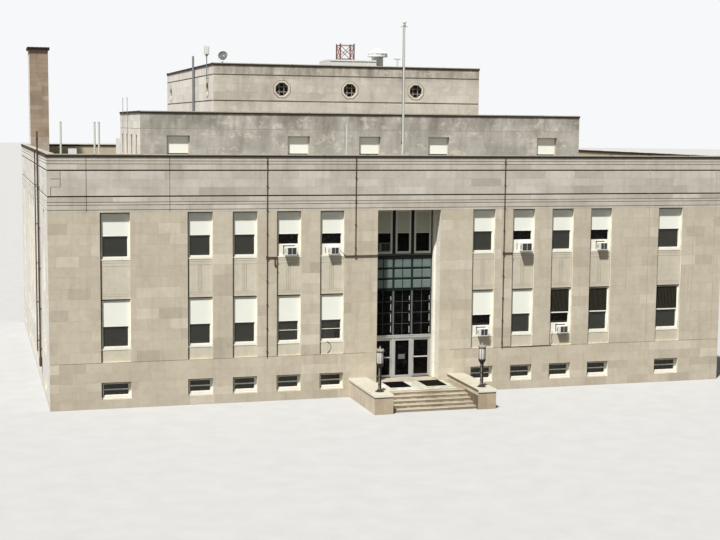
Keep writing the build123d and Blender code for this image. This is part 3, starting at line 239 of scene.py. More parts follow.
m_step = stone("stone_steps", ((0.0, (134, 124, 106)), (1.0, (168, 160, 143))), (96, 84, 66), 0.6, 0.25, 80)
m_landing = stone("stone_landing", ((0.0, (158, 156, 143)), (1.0, (206, 205, 192))), (120, 108, 88), 0.5, 0.5, 80)
m_riser = stone("stone_risers", ((0.0, (150, 136, 112)), (1.0, (214, 204, 184))), (112, 100, 82), 0.4, 0.25, 80)
m_cap = stone("stone_cap", ((0.0, (168, 163, 148)), (1.0, (182, 177, 162))), (140, 133, 118), 0.3, 0.2)
m_concrete = stone("stone_concrete", ((0.0, (150, 147, 140)), (1.0, (170, 166, 158))), (104, 100, 94), 0.6, 0.2)
m_roof = stone("roof_gravel", ((0.0, (140, 136, 128)), (1.0, (160, 156, 148))), (92, 88, 82), 0.6, 0.1, 38, 1.0)
m_chimney = stone("stone_chimney", ((0.0, (142, 125, 107)), (0.2, (158, 140, 121)), (0.7, (170, 153, 134)),
                                    (1.0, (186, 177, 164))), (120, 104, 86), 0.5, 0.4)
m_tan = stone("stone_cheek", ((0.0, (184, 168, 142)), (0.5, (204, 188, 162)), (1.0, (232, 222, 202))),
              (140, 122, 96), 0.4, 0.3)
m_ring = stone("stone_rings", ((0.0, (186, 178, 162)), (1.0, (222, 214, 198))), (140, 132, 116), 0.3, 0.2)
m_coping = paint("coping_sheet", (50, 44, 37), (96, 88, 76), 0.25, 0.6, 3.0, specular=0.05)
m_lid = paint("lid_sheet", (150, 158, 154), (96, 98, 92), 0.4, 0.5, 5.0)
m_white = paint("window_paint", (244, 242, 228), (168, 158, 138), 0.3)
m_old_white = paint("old_frame_paint", (206, 202, 188), (150, 142, 124), 0.35, 0.6, 8.0)
m_board = paint("sash_board", (238, 240, 230), (216, 213, 199), 0.25, 0.75, 3.0, dirt=0.08, specular=0.05)
m_curtain = paint("curtain_cloth", (66, 63, 52), (40, 38, 32), 0.5, 0.9, 5.0, dirt=0.3, specular=0.0)
# Painted shade: sill tops take a darker grey than the white fronts, to cancel the stronger light on level faces
m_sill_top_painted_shade = paint("sill_top_painted_shade", (168, 164, 153), (130, 122, 106), 0.3, 0.8)
# Dark lines for joints; also painted shade in the grooves and in the corners of the reveals
m_joint_and_shade_line = paint("joint_and_shade_line", (62, 53, 42), (96, 84, 68), 0.25, 0.9, 9.0, specular=0.0)
m_fine_line = paint("fine_line", (172, 163, 145), (142, 132, 114), 0.4, 0.9, 9.0)
m_inner = paint("parapet_inside", (176, 179, 178), (150, 148, 142), 0.3, 0.8, 2.0)
m_muntin_pale = paint("octagon_bars", (168, 160, 142), (110, 104, 92), 0.4, 0.6, 9.0)
m_dark = paint("dark_paint", (40, 36, 32), (80, 72, 62), 0.35, 0.6, 8.0, specular=0.05)
m_case = paint("unit_enamel", (226, 226, 220), (150, 140, 124), 0.4, 0.4, 9.0)
m_fin = paint("unit_fins", (88, 88, 84), (50, 50, 48), 0.4, 0.6, 9.0)
m_bronze = paint("portal_paint", (32, 37, 36), (66, 72, 68), 0.3, 0.55, 7.0, specular=0.05)
# Pale bead paint; on the portal it also serves as a painted glint
m_bead_and_glint = paint("bead_paint_and_glint", (206, 206, 196), (96, 96, 90), 0.5, 0.45, 9.0)
m_tile = paint("portal_tile_glaze", (110, 124, 119), (80, 96, 94), 0.4, 0.4, 4.0, dirt=0.45, specular=0.1)
m_tile_joint = paint("portal_tile_joint", (32, 44, 46), (58, 70, 70), 0.3, 0.6, 7.0, specular=0.05)
m_mullion = paint("portal_mullion", (104, 108, 108), (66, 68, 66), 0.4, 0.5, 9.0)
m_muntin = paint("muntin_paint", (92, 96, 94), (58, 60, 58), 0.4, 0.5, 9.0)
m_portal_grey = paint("portal_sash_paint", (206, 208, 200), (120, 120, 112), 0.35, 0.5, 8.0)
# Painted shade: a darker copy of the sash boards' paint for the portal's boards, which stand in shade
m_portal_board_painted_shade = paint("portal_blind_painted_shade", (180, 182, 164), (150, 150, 136), 0.3, 0.85, 3.0, dirt=0.2)
m_mat = paint("mat_rubber", (19, 18, 21), (34, 32, 34), 0.4, 0.9, 12.0, specular=0.0)
m_mat_brown = paint("mat_brown", (31, 27, 22), (42, 37, 31), 0.4, 0.9, 12.0, specular=0.0)
m_conduit = paint("conduit_paint", (84, 66, 56), (128, 108, 92), 0.45, 0.55, 8.0)
m_pole = paint("pole_paint", (204, 206, 196), (150, 144, 130), 0.4)
m_red = paint("stub_paint", (112, 70, 62), (70, 48, 42), 0.5, 0.6, 8.0)
m_vent = paint("vent_paint", (218, 220, 217), (160, 156, 146), 0.35, 0.5, 4.0)
m_iron = paint("lantern_paint", (58, 54, 50), (110, 102, 92), 0.5, 0.45, 10.0, 0.4)
m_iron_light = paint("lantern_worn", (150, 146, 136), (70, 64, 58), 0.5, 0.4, 10.0, 0.3)
m_lens = paint("lantern_glass", (206, 204, 196), (150, 146, 138), 0.3, 0.25, 9.0)
m_steel = metal("hinge_steel", (170, 170, 168), 0.4)
m_alu = metal("door_aluminium", (196, 197, 193), 0.45, 0.35)
m_mast = metal("mast_galvanized", (140, 142, 144), 0.5, 0.4)
m_glass = glass("window_glass", (50, 50, 44), 0.75)
m_glass_door = glass("door_glass", (8, 8, 7), 0.35, 0.15)
m_glass_dark = glass("portal_glass", (6, 6, 5), 0.7, 0.05)
m_black = glass("dark_pane", (9, 9, 8), 0.9, 0.1)

# Materials of the solids, by slot and then for single nodes
FINISH = {
    "limestone": m_joint, "grey_limestone": m_grey_core, "step_stone": m_step, "concrete": m_concrete,
    "roofing": m_roof, "chimney_stone": m_chimney, "coping": m_coping, "window_paint": m_white,
    "glass": m_glass, "portal_bronze": m_bronze, "portal_tile": m_tile_joint, "door_aluminium": m_alu,
    "hinge_steel": m_steel, "mat": m_mat, "lantern_iron": m_iron, "unit_case": m_case,
    "conduit": m_conduit, "pole_paint": m_pole, "stub_iron": m_red, "vent_metal": m_vent, "mast_metal": m_mast,
}
OWN = {"portal_glass": m_glass_dark, "left_door_glass": m_glass_door, "right_door_glass": m_glass_door,
       "octagon_windows": m_ring, "chimney_cap": m_dark, "tier2_windows": m_old_white}
slot_of = {row["node"]: row["material_slot"] for row in frame["record"]["subparts"]}
for name, item in nodes.items():
    item.data.materials.clear()
    item.data.materials.append(OWN.get(name, FINISH[slot_of[name]]))


# Pieces
def sides_of(x0, x1, y0, y1):
    """The four upright faces of a box, front, rear, left and right. Each takes a length along the face,
    a depth into the box and a level."""
    return (lambda u, d, v: (u, y0 + d, v), lambda u, d, v: (-u, y1 - d, v),
            lambda u, d, v: (x0 + d, -u, v), lambda u, d, v: (x1 - d, u, v))


def deck(level):
    """A level surface seen from above: the second length runs along Y."""
    return lambda u, d, v: (u, v, level - d)


def mirrored(side, a, b):
    """Two lengths from the middle, on the left for side -1, in rising order."""
    return sorted((side * a, side * b))


def angles(count, start=0.0):
    return [start + 2 * math.pi * s / count for s in range(count)]


LEFT, RIGHT = 2, 3
front, rear, left, right = sides_of(-HALF, HALF, 0, DEPTH)


class Shape:
    """Faces of one piece, each with a tint and a material."""

    def __init__(self, place=front):
        self.place = place
        self.points, self.faces, self.tints, self.slots = [], [], [], []

    def face(self, corners, tint=0.5, slot=0):
        start = len(self.points)
        self.points += [self.place(*c) for c in corners]
        self.faces.append(tuple(range(start, start + len(corners))))
        self.tints.append(tint)
        self.slots.append(slot)

    def block(self, u0, u1, d0, d1, v0, v1, tint=0.5, slot=0, back=True):
        """A box between two depths; d0 is its outer side."""
        a, b, c, e = (u0, d0, v0), (u1, d0, v0), (u1, d0, v1), (u0, d0, v1)
        f, g, h, i = (u0, d1, v0), (u1, d1, v0), (u1, d1, v1), (u0, d1, v1)
        sides = [(a, b, c, e), (b, g, h, c), (f, a, e, i), (e, c, h, i), (f, g, b, a), (g, f, i, h)]
        for corners in sides if back else sides[:-1]:
            self.face(corners, tint, slot)

    def bars(self, d0, d1, rows, tint=0.5, slot=0, back=True):
        """Boxes between the same depths: the sides, foot and head of each."""
        for u0, u1, v0, v1 in rows:
            self.block(u0, u1, d0, d1, v0, v1, tint, slot, back)

    def slab(self, u0, u1, v0, v1, d=0.0, proud=0.004, edge=0.003, tint=0.5, slot=0):
        """A stone's face: a flat front with sloped edges that run back to the wall."""
        o = ((u0, v0), (u1, v0), (u1, v1), (u0, v1))
        i = ((u0 + edge, v0 + edge), (u1 - edge, v0 + edge), (u1 - edge, v1 - edge), (u0 + edge, v1 - edge))
        self.face([(u, d - proud, v) for u, v in i], tint, slot)
        for k in range(4):
            m = (k + 1) % 4
            self.face([(o[k][0], d, o[k][1]), (o[m][0], d, o[m][1]),
                       (i[m][0], d - proud, i[m][1]), (i[k][0], d - proud, i[k][1])], tint, slot)

    def join(self, rings, order, tint, slot):
        """The skin between rings of points, whose order of corners turns it outwards."""
        for low, high in zip(rings, rings[1:]):
            for s in range(len(low)):
                m = (s + 1) % len(low)
                corners = (low[s], low[m], high[m], high[s])
                self.face([corners[k] for k in order], tint, slot)

    def tube(self, path, radius, sides=8, tint=0.5, slot=0):
        """A round bar along straight runs."""
        rings = []
        points = [Vector(p) for p in path]
        for k, p in enumerate(points):
            ahead = points[min(k + 1, len(points) - 1)] - points[max(k - 1, 0)]
            ahead.normalize()
            side = ahead.cross(Vector((0, 0, 1)) if abs(ahead.z) < 0.9 else Vector((1, 0, 0))).normalized()
            up = side.cross(ahead)
            rings.append([p + radius * (math.cos(t) * side + math.sin(t) * up) for t in angles(sides)])
        self.join(rings, (0, 3, 2, 1), tint, slot)
        self.face(rings[0], tint, slot)
        self.face(rings[-1][::-1], tint, slot)

    def lathe(self, x, y, profile, sides=24, tint=0.5, slot=0):
        """A turned shape: pairs of radius and level, from the foot up."""
        rings = [[(x + radius * math.cos(t), y + radius * math.sin(t), z) for t in angles(sides)]
                 for radius, z in profile]
        self.join(rings, (0, 1, 2, 3), tint, slot)
        self.face(rings[0][::-1], tint, slot)
        self.face(rings[-1], tint, slot)

    def lathe_y(self, x, z, profile, sides=16, tint=0.5, slot=0):
        """A turned shape on an axis along Y: pairs of radius and depth, from its outer end."""
        rings = [[(x + radius * math.cos(t), y, z + radius * math.sin(t)) for t in angles(sides)]
                 for radius, y in profile]
        self.join(rings, (1, 2, 3, 0), tint, slot)

    def collar(self, x, y, z, near, far, heights, sides, tint=0.5, slot=0):
        """A ring round a post: its two radii, and the heights at which it widens, narrows and ends."""
        a, b, c = heights
        self.lathe(x, y, ((near, z), (far, z + a), (far, z + b), (near, z + c)), sides, tint, slot)

    def build(self, name, materials, slot, body="root", bevel=0.0, smooth=False, replaces=()):
        mesh = bpy.data.meshes.new(name)
        mesh.from_pydata([tuple(p) for p in self.points], [], self.faces)
        layer = mesh.attributes.new("tint", "FLOAT", "FACE")
        layer.data.foreach_set("value", self.tints)
        for material in materials:
            mesh.materials.append(material)
        mesh.polygons.foreach_set("material_index", self.slots)
        work = bmesh.new()
        work.from_mesh(mesh)
        bmesh.ops.remove_doubles(work, verts=work.verts, dist=0.00005)
        work.to_mesh(mesh)
        work.free()
        mesh.update()
        piece = bpy.data.objects.new(name, mesh)
        bpy.context.scene.collection.objects.link(piece)
        if bevel:
            cut = piece.modifiers.new("edges", "BEVEL")
            cut.width = bevel
            cut.segments = 1
            cut.limit_method = "ANGLE"
        if smooth:
            mesh.shade_smooth()
            mesh.set_sharp_from_angle(angle=math.radians(35))
        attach(piece, body)
        if replaces:
            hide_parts(*replaces)


def courses(low, high, count):
    step = (high - low) / count
    return [(low + k * step, low + (k + 1) * step) for k in range(count)]


def cut_spans(low, high, holes):
    """What is left of a run once the holes are taken out."""
    spans = []
    for a, b in sorted(holes):
        if a > low:
            spans.append((low, min(a, high)))
        low = max(low, b)
    if low < high:
        spans.append((low, high))
    return [s for s in spans if s[1] - s[0] > 0.02]


def lay_row(shape, v0, v1, spans, length, phase, tint, slot=0, joint=0.002):
    """Stones of about one length along the spans of a course."""
    for a, b in spans:
        marks = [a]
        mark = math.floor(a / length) * length + phase
        while mark < b:
            if a + 0.28 < mark < b - 0.28:
                marks.append(mark)
            mark += length
        marks.append(b)
        for u0, u1 in zip(marks, marks[1:]):
            shape.slab(u0 + joint, u1 - joint, v0 + joint, v1 - joint, tint=tint(), slot=slot)


def shade(middle=0.5, spread=0.13, odd=0.1):
    """A tint for a stone: most are near the middle, a few are much paler or darker."""
    def pick():
        if rng.random() < odd:
            return rng.choice((0.2, 0.85, 0.9))
        return min(1.0, max(0.1, rng.gauss(middle, spread)))
    return pick


def dress_wall(shape, bays, breaks):
    """The coursed stone of one main wall: bays are (centre, width), breaks are where it stops."""
    half = [(c - w / 2, c + w / 2) for c, w in bays]
    plain = shade()
    plinth = (0.0, 0.46, 0.89, 1.32, 1.825, 2.316)
    rows = [(v0, v1, 1.3, 0.65 * (k % 2), half if 0.4 < v0 < 1.3 else [])
            for k, (v0, v1) in enumerate(zip(plinth, plinth[1:]))]
    rows += [(v0, v1, 1.12, 0.56 * (k % 2) + 0.2, half)
             for k, (v0, v1) in enumerate(courses(RECESS_LOW, HEAD, 14))]
    for v0, v1, length, phase, holes in rows:
        spans = [s for a, b in breaks for s in cut_spans(a, b, holes)]
        lay_row(shape, v0, v1, spans, length, phase, plain)


def dress_frieze(shape, low, high):
    """The bands over the windows, between the grooves and fine lines."""
    calm, lively = shade(0.5, 0.1, 0.06), shade(0.48, 0.22, 0.2)
    bands = ((HEAD, 9.965), (10.0, 10.21), (10.245, 10.35), (12.275, 12.39), (12.425, 12.61))
    tall = [(10.385, 10.62), *courses(10.69, 11.91, 3), (11.98, 12.24)]
    for rows, length, shift, tint in ((bands, 2.3, 0.9, calm), (tall, 1.72, 0.86, lively)):
        for k, (v0, v1) in enumerate(rows):
            lay_row(shape, v0, v1, [(low, high)], length, shift * (k % 2), tint, slot=1)


def dress_bays(shape, bays, fluted):
    """Recessed panels over and under the lower windows, set back in each bay."""
    for c, width in bays:
        a, b = c - width / 2, c + width / 2
        t = 0.55 + rng.uniform(-0.15, 0.2)
        for v0, v1 in ((2.36, 2.93), (5.51, 5.65), (5.662, 5.745), (7.17, 7.32), (7.332, 7.45)):
            shape.slab(a, b, v0, v1, RECESS, tint=t, slot=2)
        shape.slab(a, b, RECESS_LOW, 2.357, RECESS, 0.012, 0.008, 1.0, 2)
        for v in (5.656, 5.751, 7.164, 7.326):
            shape.block(a, b, RECESS - 0.0048, RECESS, v - 0.005, v + 0.005, 0.5, 3, False)
        edges = [a, b]
        if fluted and width < END_BAY:
            edges = [a, c - 0.1, c - 0.08, c - 0.01, c + 0.01, c + 0.08, c + 0.1, b]
        for u0, u1 in zip(edges[::2], edges[1::2]):
            shape.slab(u0, u1, 5.757, 7.158, RECESS, 0.003, 0.001, t, 2)


front_bays = [(s * x, BAY) for x in BAYS_X for s in (-1, 1)] + [(-15.39, END_BAY), (15.39, END_BAY)]
side_bays = [(y, BAY) for y in SIDE_BAYS] + [(3.275, END_BAY), (27.525, END_BAY)]
rear_bays = front_bays[:8] + [(x, END_BAY) for x in (-15.39, 0, 15.39)]
WALLS = (
    ("front_stones", front, -HALF, HALF, front_bays), ("left_stones", left, -DEPTH, 0, [(-y, w) for y, w in side_bays]),
    ("right_stones", right, 0, DEPTH, side_bays), ("rear_stones", rear, -HALF, HALF, rear_bays),
)
for name, place, low, high, bays in WALLS:
    shape = Shape(place)
    dress_wall(shape, bays, [(low, -PORTAL_HALF), (PORTAL_HALF, high)] if place is front else [(low, high)])
    dress_frieze(shape, low, high)
    dress_bays(shape, bays, place is front)
    # painted light: the left wall takes the paler copy of the stone
    skin = [m_left_wall_painted_light, m_left_wall_painted_light, m_left_wall_painted_light] if place is left else [m_stone, m_frieze, m_cream]
    shape.build(name, skin + [m_fine_line], "limestone")

# Dark lines: painted shade at the back of the two grooves, a dark line over the plinth, and open joints, upright and
# short level ones, that show dark
seams = Shape()
for _, place, low, high, _ in WALLS:
    seams.place = place
    # painted shade at the back of the grooves
    seams.bars(0.027, 0.031, [(low + 0.04, high - 0.04, v0, v0 + 0.05) for v0 in (10.63, 11.92)])
seams.place = front
seams.bars(-0.003, 0.0, ((-18.62, -PIER_HALF, 2.317, 2.329), (PIER_HALF, 18.62, 2.317, 2.329)))
for x, v0, v1 in ((-16.77, 9.9, 12.6), (-12.66, 9.9, 12.6), (14.05, 2.33, 12.6), (18.2, 2.6, 12.6),
                  (12.72, 5.28, 7.86), (16.84, 4.0, 9.04), (-18.02, 11.14, 11.9), (-18.48, 10.69, 11.14)):
    seams.block(x - 0.012, x + 0.012, -0.0055, 0.0, v0, v1, slot=1 if x > 12.5 else 0)
seams.bars(-0.0055, 0.0, ((-18.48, -18.02, 11.52, 11.54), (-18.48, -18.02, 11.13, 11.145)))
seams.build("open_joints_and_groove_shade", [m_joint_and_shade_line, m_fine_line], "limestone")


# Upper tiers: greyer, blotched stone, with rings round the octagonal windows
def octagon(x, z, reach):
    """Corners of an octagon whose flat sides are at one distance from its middle."""
    r = reach / math.cos(math.pi / 8)
    return [(x + r * math.cos(t), z + r * math.sin(t)) for t in angles(8, math.pi / 8)]


def dress_octagon(x, skin):
    """The stone plate round an octagonal window, a dark outline, a raised ring, its reveal and the bars."""
    z, plate = OCTAGON_Z, 0.66
    for k in range(8):
        m = (k + 1) % 8
        for reach, near, to, far, tint, slot in (
                (0.5, 0.0, 0.485, -0.012, 0.9, 2), (0.485, -0.012, 0.4, -0.012, 0.9, 2),
                (0.4, -0.012, 0.38, 0.0, 0.9, 2), (plate, -0.003, 0.5, -0.003, 0.6, skin),
                (0.525, -0.005, 0.5, -0.005, 0.5, 4), (0.38, 0.0, 0.38, 0.15, 0.2, 2)):
            p, q = octagon(x, z, reach), octagon(x, z, to)
            tiers.face(((p[k][0], near, p[k][1]), (p[m][0], near, p[m][1]),
                        (q[m][0], far, q[m][1]), (q[k][0], far, q[k][1])), tint, slot)
    half_side = plate * math.tan(math.pi / 8)
    for su in (-1, 1):
        for sv in (-1, 1):
            corner = ((x + su * plate, -0.004, z + sv * half_side), (x + su * plate, -0.004, z + sv * plate),
                      (x + su * half_side, -0.004, z + sv * plate))
            tiers.face(corner if su * sv < 0 else corner[::-1], rng.uniform(0.3, 0.7), skin)
    tiers.slab(x - 0.658, x + 0.658, 17.032, 17.148, slot=skin)
    sashes.face([(u, 0.15, v) for u, v in octagon(x, z, 0.45 * math.cos(math.pi / 8))], slot=4)
    for bar in (-0.15, 0.15):
        sashes.block(x + bar - 0.017, x + bar + 0.017, 0.12, 0.15, z - 0.38, z + 0.38, slot=3)
        sashes.block(x - 0.38, x + 0.38, 0.122, 0.15, z + bar - 0.017, z + bar + 0.017, slot=3)


tiers, sashes = Shape(), Shape()
TIER_ROWS = (
    (TIER2, [(ROOF, 12.5), (12.5, 13.06), (13.06, 13.62), (13.62, 13.96), (13.99, 14.41), (14.41, 14.83)]),
    (TIER3, [*courses(14.45, 15.62, 2), *courses(15.69, 17.15, 3), (17.22, 17.73)]),
)
for tier, rows in TIER_ROWS:
    half, y0, y1 = tier["half"], tier["front"], tier["rear"]
    middle = tier is TIER2
    spans = ((-half, half, (-4.22, 0, 4.22)), (-half, half, (-4.22, 0, 4.22)),
             (-y1, -y0, (-28.9, -13.9)), (y0, y1, (13.9, 28.9)))
    for side, place, (low, high, octagons) in zip(("front", "rear", "left", "right"),
                                                  sides_of(-half, half, y0, y1), spans):
        tiers.place = sashes.place = place
        # painted light: the left side takes the paler copy of the stone
        skin = 1 if side == "left" else (3 if middle else 0)
        sign = -1 if side == "left" else 1
        windows = []
        if middle and side == "front":
            windows = [(x - 0.6425, x + 0.6425) for x in (-11.1, -4.22, 0, 4.22, 11.1)]
        if middle and side in ("left", "right"):
            windows = sorted((sign * (9.21 + PITCH * i) - 0.31, sign * (9.21 + PITCH * i) + 0.31)
                             for i in range(4))
        for k, (v0, v1) in enumerate(rows):
            holes = windows if 12.4 < v0 < 13.5 else []
            if middle and side == "rear":
                holes = [(-TIER3["half"], TIER3["half"])]
            if 15.6 < v0 < 17.1:
                holes = [(x - 0.66, x + 0.66) for x in octagons]
            lay_row(tiers, v0, v1, cut_spans(low, high, holes), 1.55, 0.78 * (k % 2), shade(0.5, 0.16, 0.12),
                    skin)
        for a, b in windows:
            # a white board behind a worn frame, with a dark gap at the foot
            sashes.bars(SASH - 0.03, SASH + 0.01, ((a, a + 0.05, 12.5, 13.62), (b - 0.05, b, 12.5, 13.62),
                                                   (a, b, 13.56, 13.62), (a, b, 12.5, 12.54)), slot=1)
            sashes.block(a + 0.07, b - 0.07, SASH - 0.008, SASH + 0.03, 12.64, 13.55)
            sashes.block(a + 0.06, b - 0.06, SASH - 0.002, SASH + 0.02, 12.54, 12.64, slot=2)
        for x in () if middle else octagons:
            dress_octagon(x, skin)
tiers.build("tier_stones", [m_grey, m_upper_left_painted_light, m_ring, m_grey2, m_joint_and_shade_line], "grey_limestone")
sashes.build("tier_sashes", [m_board, m_old_white, m_dark, m_muntin_pale, m_black], "window_paint")

# Chimney: blocks with sooty patches, and a thin sheet over the cap
stack = Shape()
x0, x1, y0, y1 = -18.18, -16.94, 27.6, 29.6
# painted light: the left face takes the paler copy of the stone
for place, (low, high), skin in zip(sides_of(x0, x1, y0, y1), ((x0, x1), (-x1, -x0), (-y1, -y0), (y0, y1)),
                                    (0, 0, 1, 0)):
    stack.place = place
    for k, (v0, v1) in enumerate(courses(ROOF, 19.18, 23)):
        tint = shade(0.92 if v0 < 13.0 else 0.5, 0.16 if k > 4 else 0.06, 0.06)
        lay_row(stack, v0, v1, [(low, high)], 0.62, 0.31 * (k % 2), tint, skin)
stack.build("chimney_stones", [m_chimney, m_left_wall_painted_light], "chimney_stone")
lid = Shape()
x0, x1, y0, y1 = x0 - 0.11, x1 + 0.11, y0 - 0.11, y1 + 0.11
for u0, u1, d0, d1 in ((x0 - 0.006, x1 + 0.006, y0 - 0.006, y0 + 0.3), (x0 - 0.006, x1 + 0.006, y1 - 0.3, y1 + 0.006),
                       (x0 - 0.006, x0 + 0.3, y0 + 0.3, y1 - 0.3), (x1 - 0.3, x1 + 0.006, y0 + 0.3, y1 - 0.3)):
    lid.block(u0, u1, d0, d1, 19.35, 19.358)
for k in range(5):
    x = x0 + 0.2 + 0.28 * k
    lid.block(x, x + 0.02, y0 - 0.008, y0, 19.3, 19.35)
    lid.block(x, x + 0.02, y1, y1 + 0.008, 19.3, 19.35)
lid.build("chimney_lid", [m_lid], "coping")

# Copings: pale sheets on top inside dark edges, with a batten over each seam
battens = Shape()


def lay_sheets(x0, x1, y0, y1, level):
    """Sheets along a coping's top, with a seam between each pair."""
    along_x = x1 - x0 > y1 - y0
    low, high = (x0, x1) if along_x else (y0, y1)
    count = max(1, round((high - low) / 2.4))
    for at, to in courses(low, high, count):
        t = rng.random()
        sheet, seam = (at + 0.006, to - 0.006), (at - 0.01, at + 0.01)
        if along_x:
            battens.block(*sheet, y0 - 0.003, y1 - 0.05, level, level + 0.004, t, 1)
            if y0 < 1 or level > COPING:
                battens.block(*sheet, y0 - 0.003, y0 + 0.001, level - 0.042, level, t, 1)
            battens.block(*seam, y0 - 0.003, y1 + 0.003, level - 0.03, level + 0.01, t)
        else:
            battens.block(x0 + 0.05, x1 - 0.05, *sheet, level, level + 0.004, t, 1)
            battens.block(x0 - 0.003, x1 + 0.003, *seam, level - 0.03, level + 0.01, t)


for sheet in (
        (-18.7, 18.7, -0.035, 0.485, COPING), (-18.7, 18.7, 30.315, 30.835, COPING),
        (-18.7, -18.18, 0.5, 30.3, COPING), (18.18, 18.7, 0.5, 30.3, COPING),
        (-13.235, 13.235, 7.425, 7.945, TIER2_COPING), (-8.392, 8.392, 11.765, 12.285, TIER3_COPING),
        (-13.235, -12.715, 7.95, 16.96, TIER2_COPING), (-8.392, -7.872, 12.29, 30.31, TIER3_COPING),
        (12.715, 13.235, 7.95, 16.96, TIER2_COPING), (7.872, 8.392, 12.29, 30.31, TIER3_COPING),
        (-8.392, 8.392, 30.315, 30.835, TIER3_COPING)):
    lay_sheets(*sheet)
battens.build("coping_sheets", [m_coping, m_cap], "coping")

# Render inside the parapets, in panels
inside = Shape()
_, _, inner_left, inner_right = sides_of(-18.215, 18.215, 0, 0)
for place, low, high in ((lambda u, d, v: (u, 30.35 - d, v), -18.2, 18.2), (inner_left, -30.3, -0.5),
                         (inner_right, 0.5, 30.3), (lambda u, d, v: (-u, 0.45 + d, v), -18.2, 18.2)):
    inside.place = place
    lay_row(inside, 12.06, 12.6, [(low, high)], 3.6, 0.4, shade(0.5, 0.2, 0.1))
inside.build("parapet_insides", [m_inner], "limestone")

# Roof felt in laps
felt = Shape(deck(ROOF))
for x0, x1, y0, y1 in ((-18.2, 18.2, 0.47, 7.44), (-18.2, -13.22, 7.46, 27.5), (13.22, 18.2, 7.46, 30.32),
                       (-13.2, -8.4, 17.5, 30.32), (8.4, 13.2, 17.5, 30.32)):
    lane, y = 0, y0
    while y < y1 - 0.05:
        far = min(y + 0.95, y1)
        lay_row(felt, y, far, [(x0, x1)], 7.5, 2.6 * (lane % 3), rng.random, joint=0.0)
        y = far
        lane += 1
felt.build("roof_felt", [m_roof], "roofing")

# Windows. These front windows hold a unit, have glass in the upper sash, or have a bar across the lower
# one: row and centre
UNITS = {(2, -4.22), (2, -6.525), (2, 11.135), (1, 4.22), (1, 8.83), (2, 6.525)}
CLEAR = {(1, 8.83), (1, 11.135), (1, 15.39)}
BARS = {(1, -6.525), (1, -4.22)}
PLEATS = 14
boards, trim = Shape(), Shape()


def dress_window(key, centre, width, row, sill, head):
    """Brick mould round the opening, a sloped sill with cut corners, and the sashes."""
    a, b = centre - width / 2, centre + width / 2
    trim.bars(SASH - 0.02, SASH + 0.01, ((a, a + 0.04, sill + 0.1, head), (b - 0.04, b, sill + 0.1, head),
                                         (a, b, head - 0.04, head)))
    s0, s1 = SASH - 0.085, SASH + 0.01
    foot, lip, rim, top = (sill + rise for rise in (0.012, 0.05, 0.085, 0.13))
    trim.face(((a, s0, foot), (b, s0, foot), (b, s0, lip), (b - 0.035, s0, rim), (a + 0.035, s0, rim), (a, s0, lip)))
    # painted shade: the sill's top faces take the darker grey
    trim.face(((a + 0.035, s0, rim), (b - 0.035, s0, rim), (b - 0.035, s1, top), (a + 0.035, s1, top)), slot=1)
    for u, w in ((a, a + 0.035), (b, b - 0.035)):
        trim.face(((u, s0, lip), (w, s0, rim), (w, s1, top), (u, s1, sill + 0.095)), slot=1)
    trim.face(((a, s0, foot), (a, s1, foot), (b, s1, foot), (b, s0, foot)))
    low, high = sill + 0.19, head - 0.11
    middle = (low + high) / 2
    for x in (a + 0.11, b - 0.13):
        trim.block(x, x + 0.02, SASH + 0.04, SASH + 0.08, low, high)
    if not row:
        trim.block(a + 0.11, b - 0.11, SASH + 0.03, SASH + 0.07, middle - 0.03, middle + 0.03)
        return
    meet = middle - (0.13 if row == 1 else 0.02)
    if key in CLEAR:
        # cloth behind the upper and lower panes, and a rail between them
        boards.block(a + 0.1, b - 0.1, SASH - 0.004, SASH, meet, high + 0.01, 0.2, 2)
        lean = 0.3 if centre < 9 else 0.0
        for k in range(9 if centre == 11.135 else 0, PLEATS):
            u = a + 0.11 + (width - 0.22) * k / PLEATS
            w = u + (width - 0.22) / (2 * PLEATS)
            shift = 0.3 * lean * (1 - k / PLEATS)
            corners = ((u - shift, meet), (w - shift, meet), (w, high), (u, high))
            boards.face([(x, SASH - 0.0045, z) for x, z in corners], rng.random(), 1)
        trim.block(a + 0.1, b - 0.1, SASH - 0.012, SASH + 0.03, meet - 0.03, meet + 0.03)
    elif key or rng.random() < 0.8:
        # a white board in place of the upper sash's glass
        boards.block(a + 0.1, b - 0.1, SASH - 0.004, SASH + 0.03, meet + 0.02, high + 0.01)
        boards.block(a + 0.1, b - 0.1, SASH - 0.008, SASH, meet - 0.004, meet + 0.02, 0.3)
    else:
        trim.block(a + 0.1, b - 0.1, SASH - 0.006, SASH + 0.03, middle - 0.034, middle + 0.034)
    unit = key in UNITS
    boards.block(a + 0.105, b - 0.105, SASH + 0.05, SASH + 0.054, low + 0.55 if unit else low, meet,
                 rng.random(), 2 if unit else 3)
    if key in BARS if key else rng.random() < 0.4:
        rail = (low + meet) / 2 + 0.02
        trim.block(a + 0.11, b - 0.11, SASH + 0.02, SASH + 0.05, rail - 0.012, rail + 0.012)


for _, place, _, _, bays in WALLS:
    trim.place = boards.place = place
    for centre, width in bays:
        for row, (sill, head) in enumerate(ROWS):
            key = (row, round(centre, 3)) if place is front else None
            dress_window(key, centre, width, row, sill, head)
boards.build("sash_boards", [m_board, m_curtain, m_black, m_glass], "window_paint")
trim.build("window_trim", [m_white, m_sill_top_painted_shade], "window_paint")
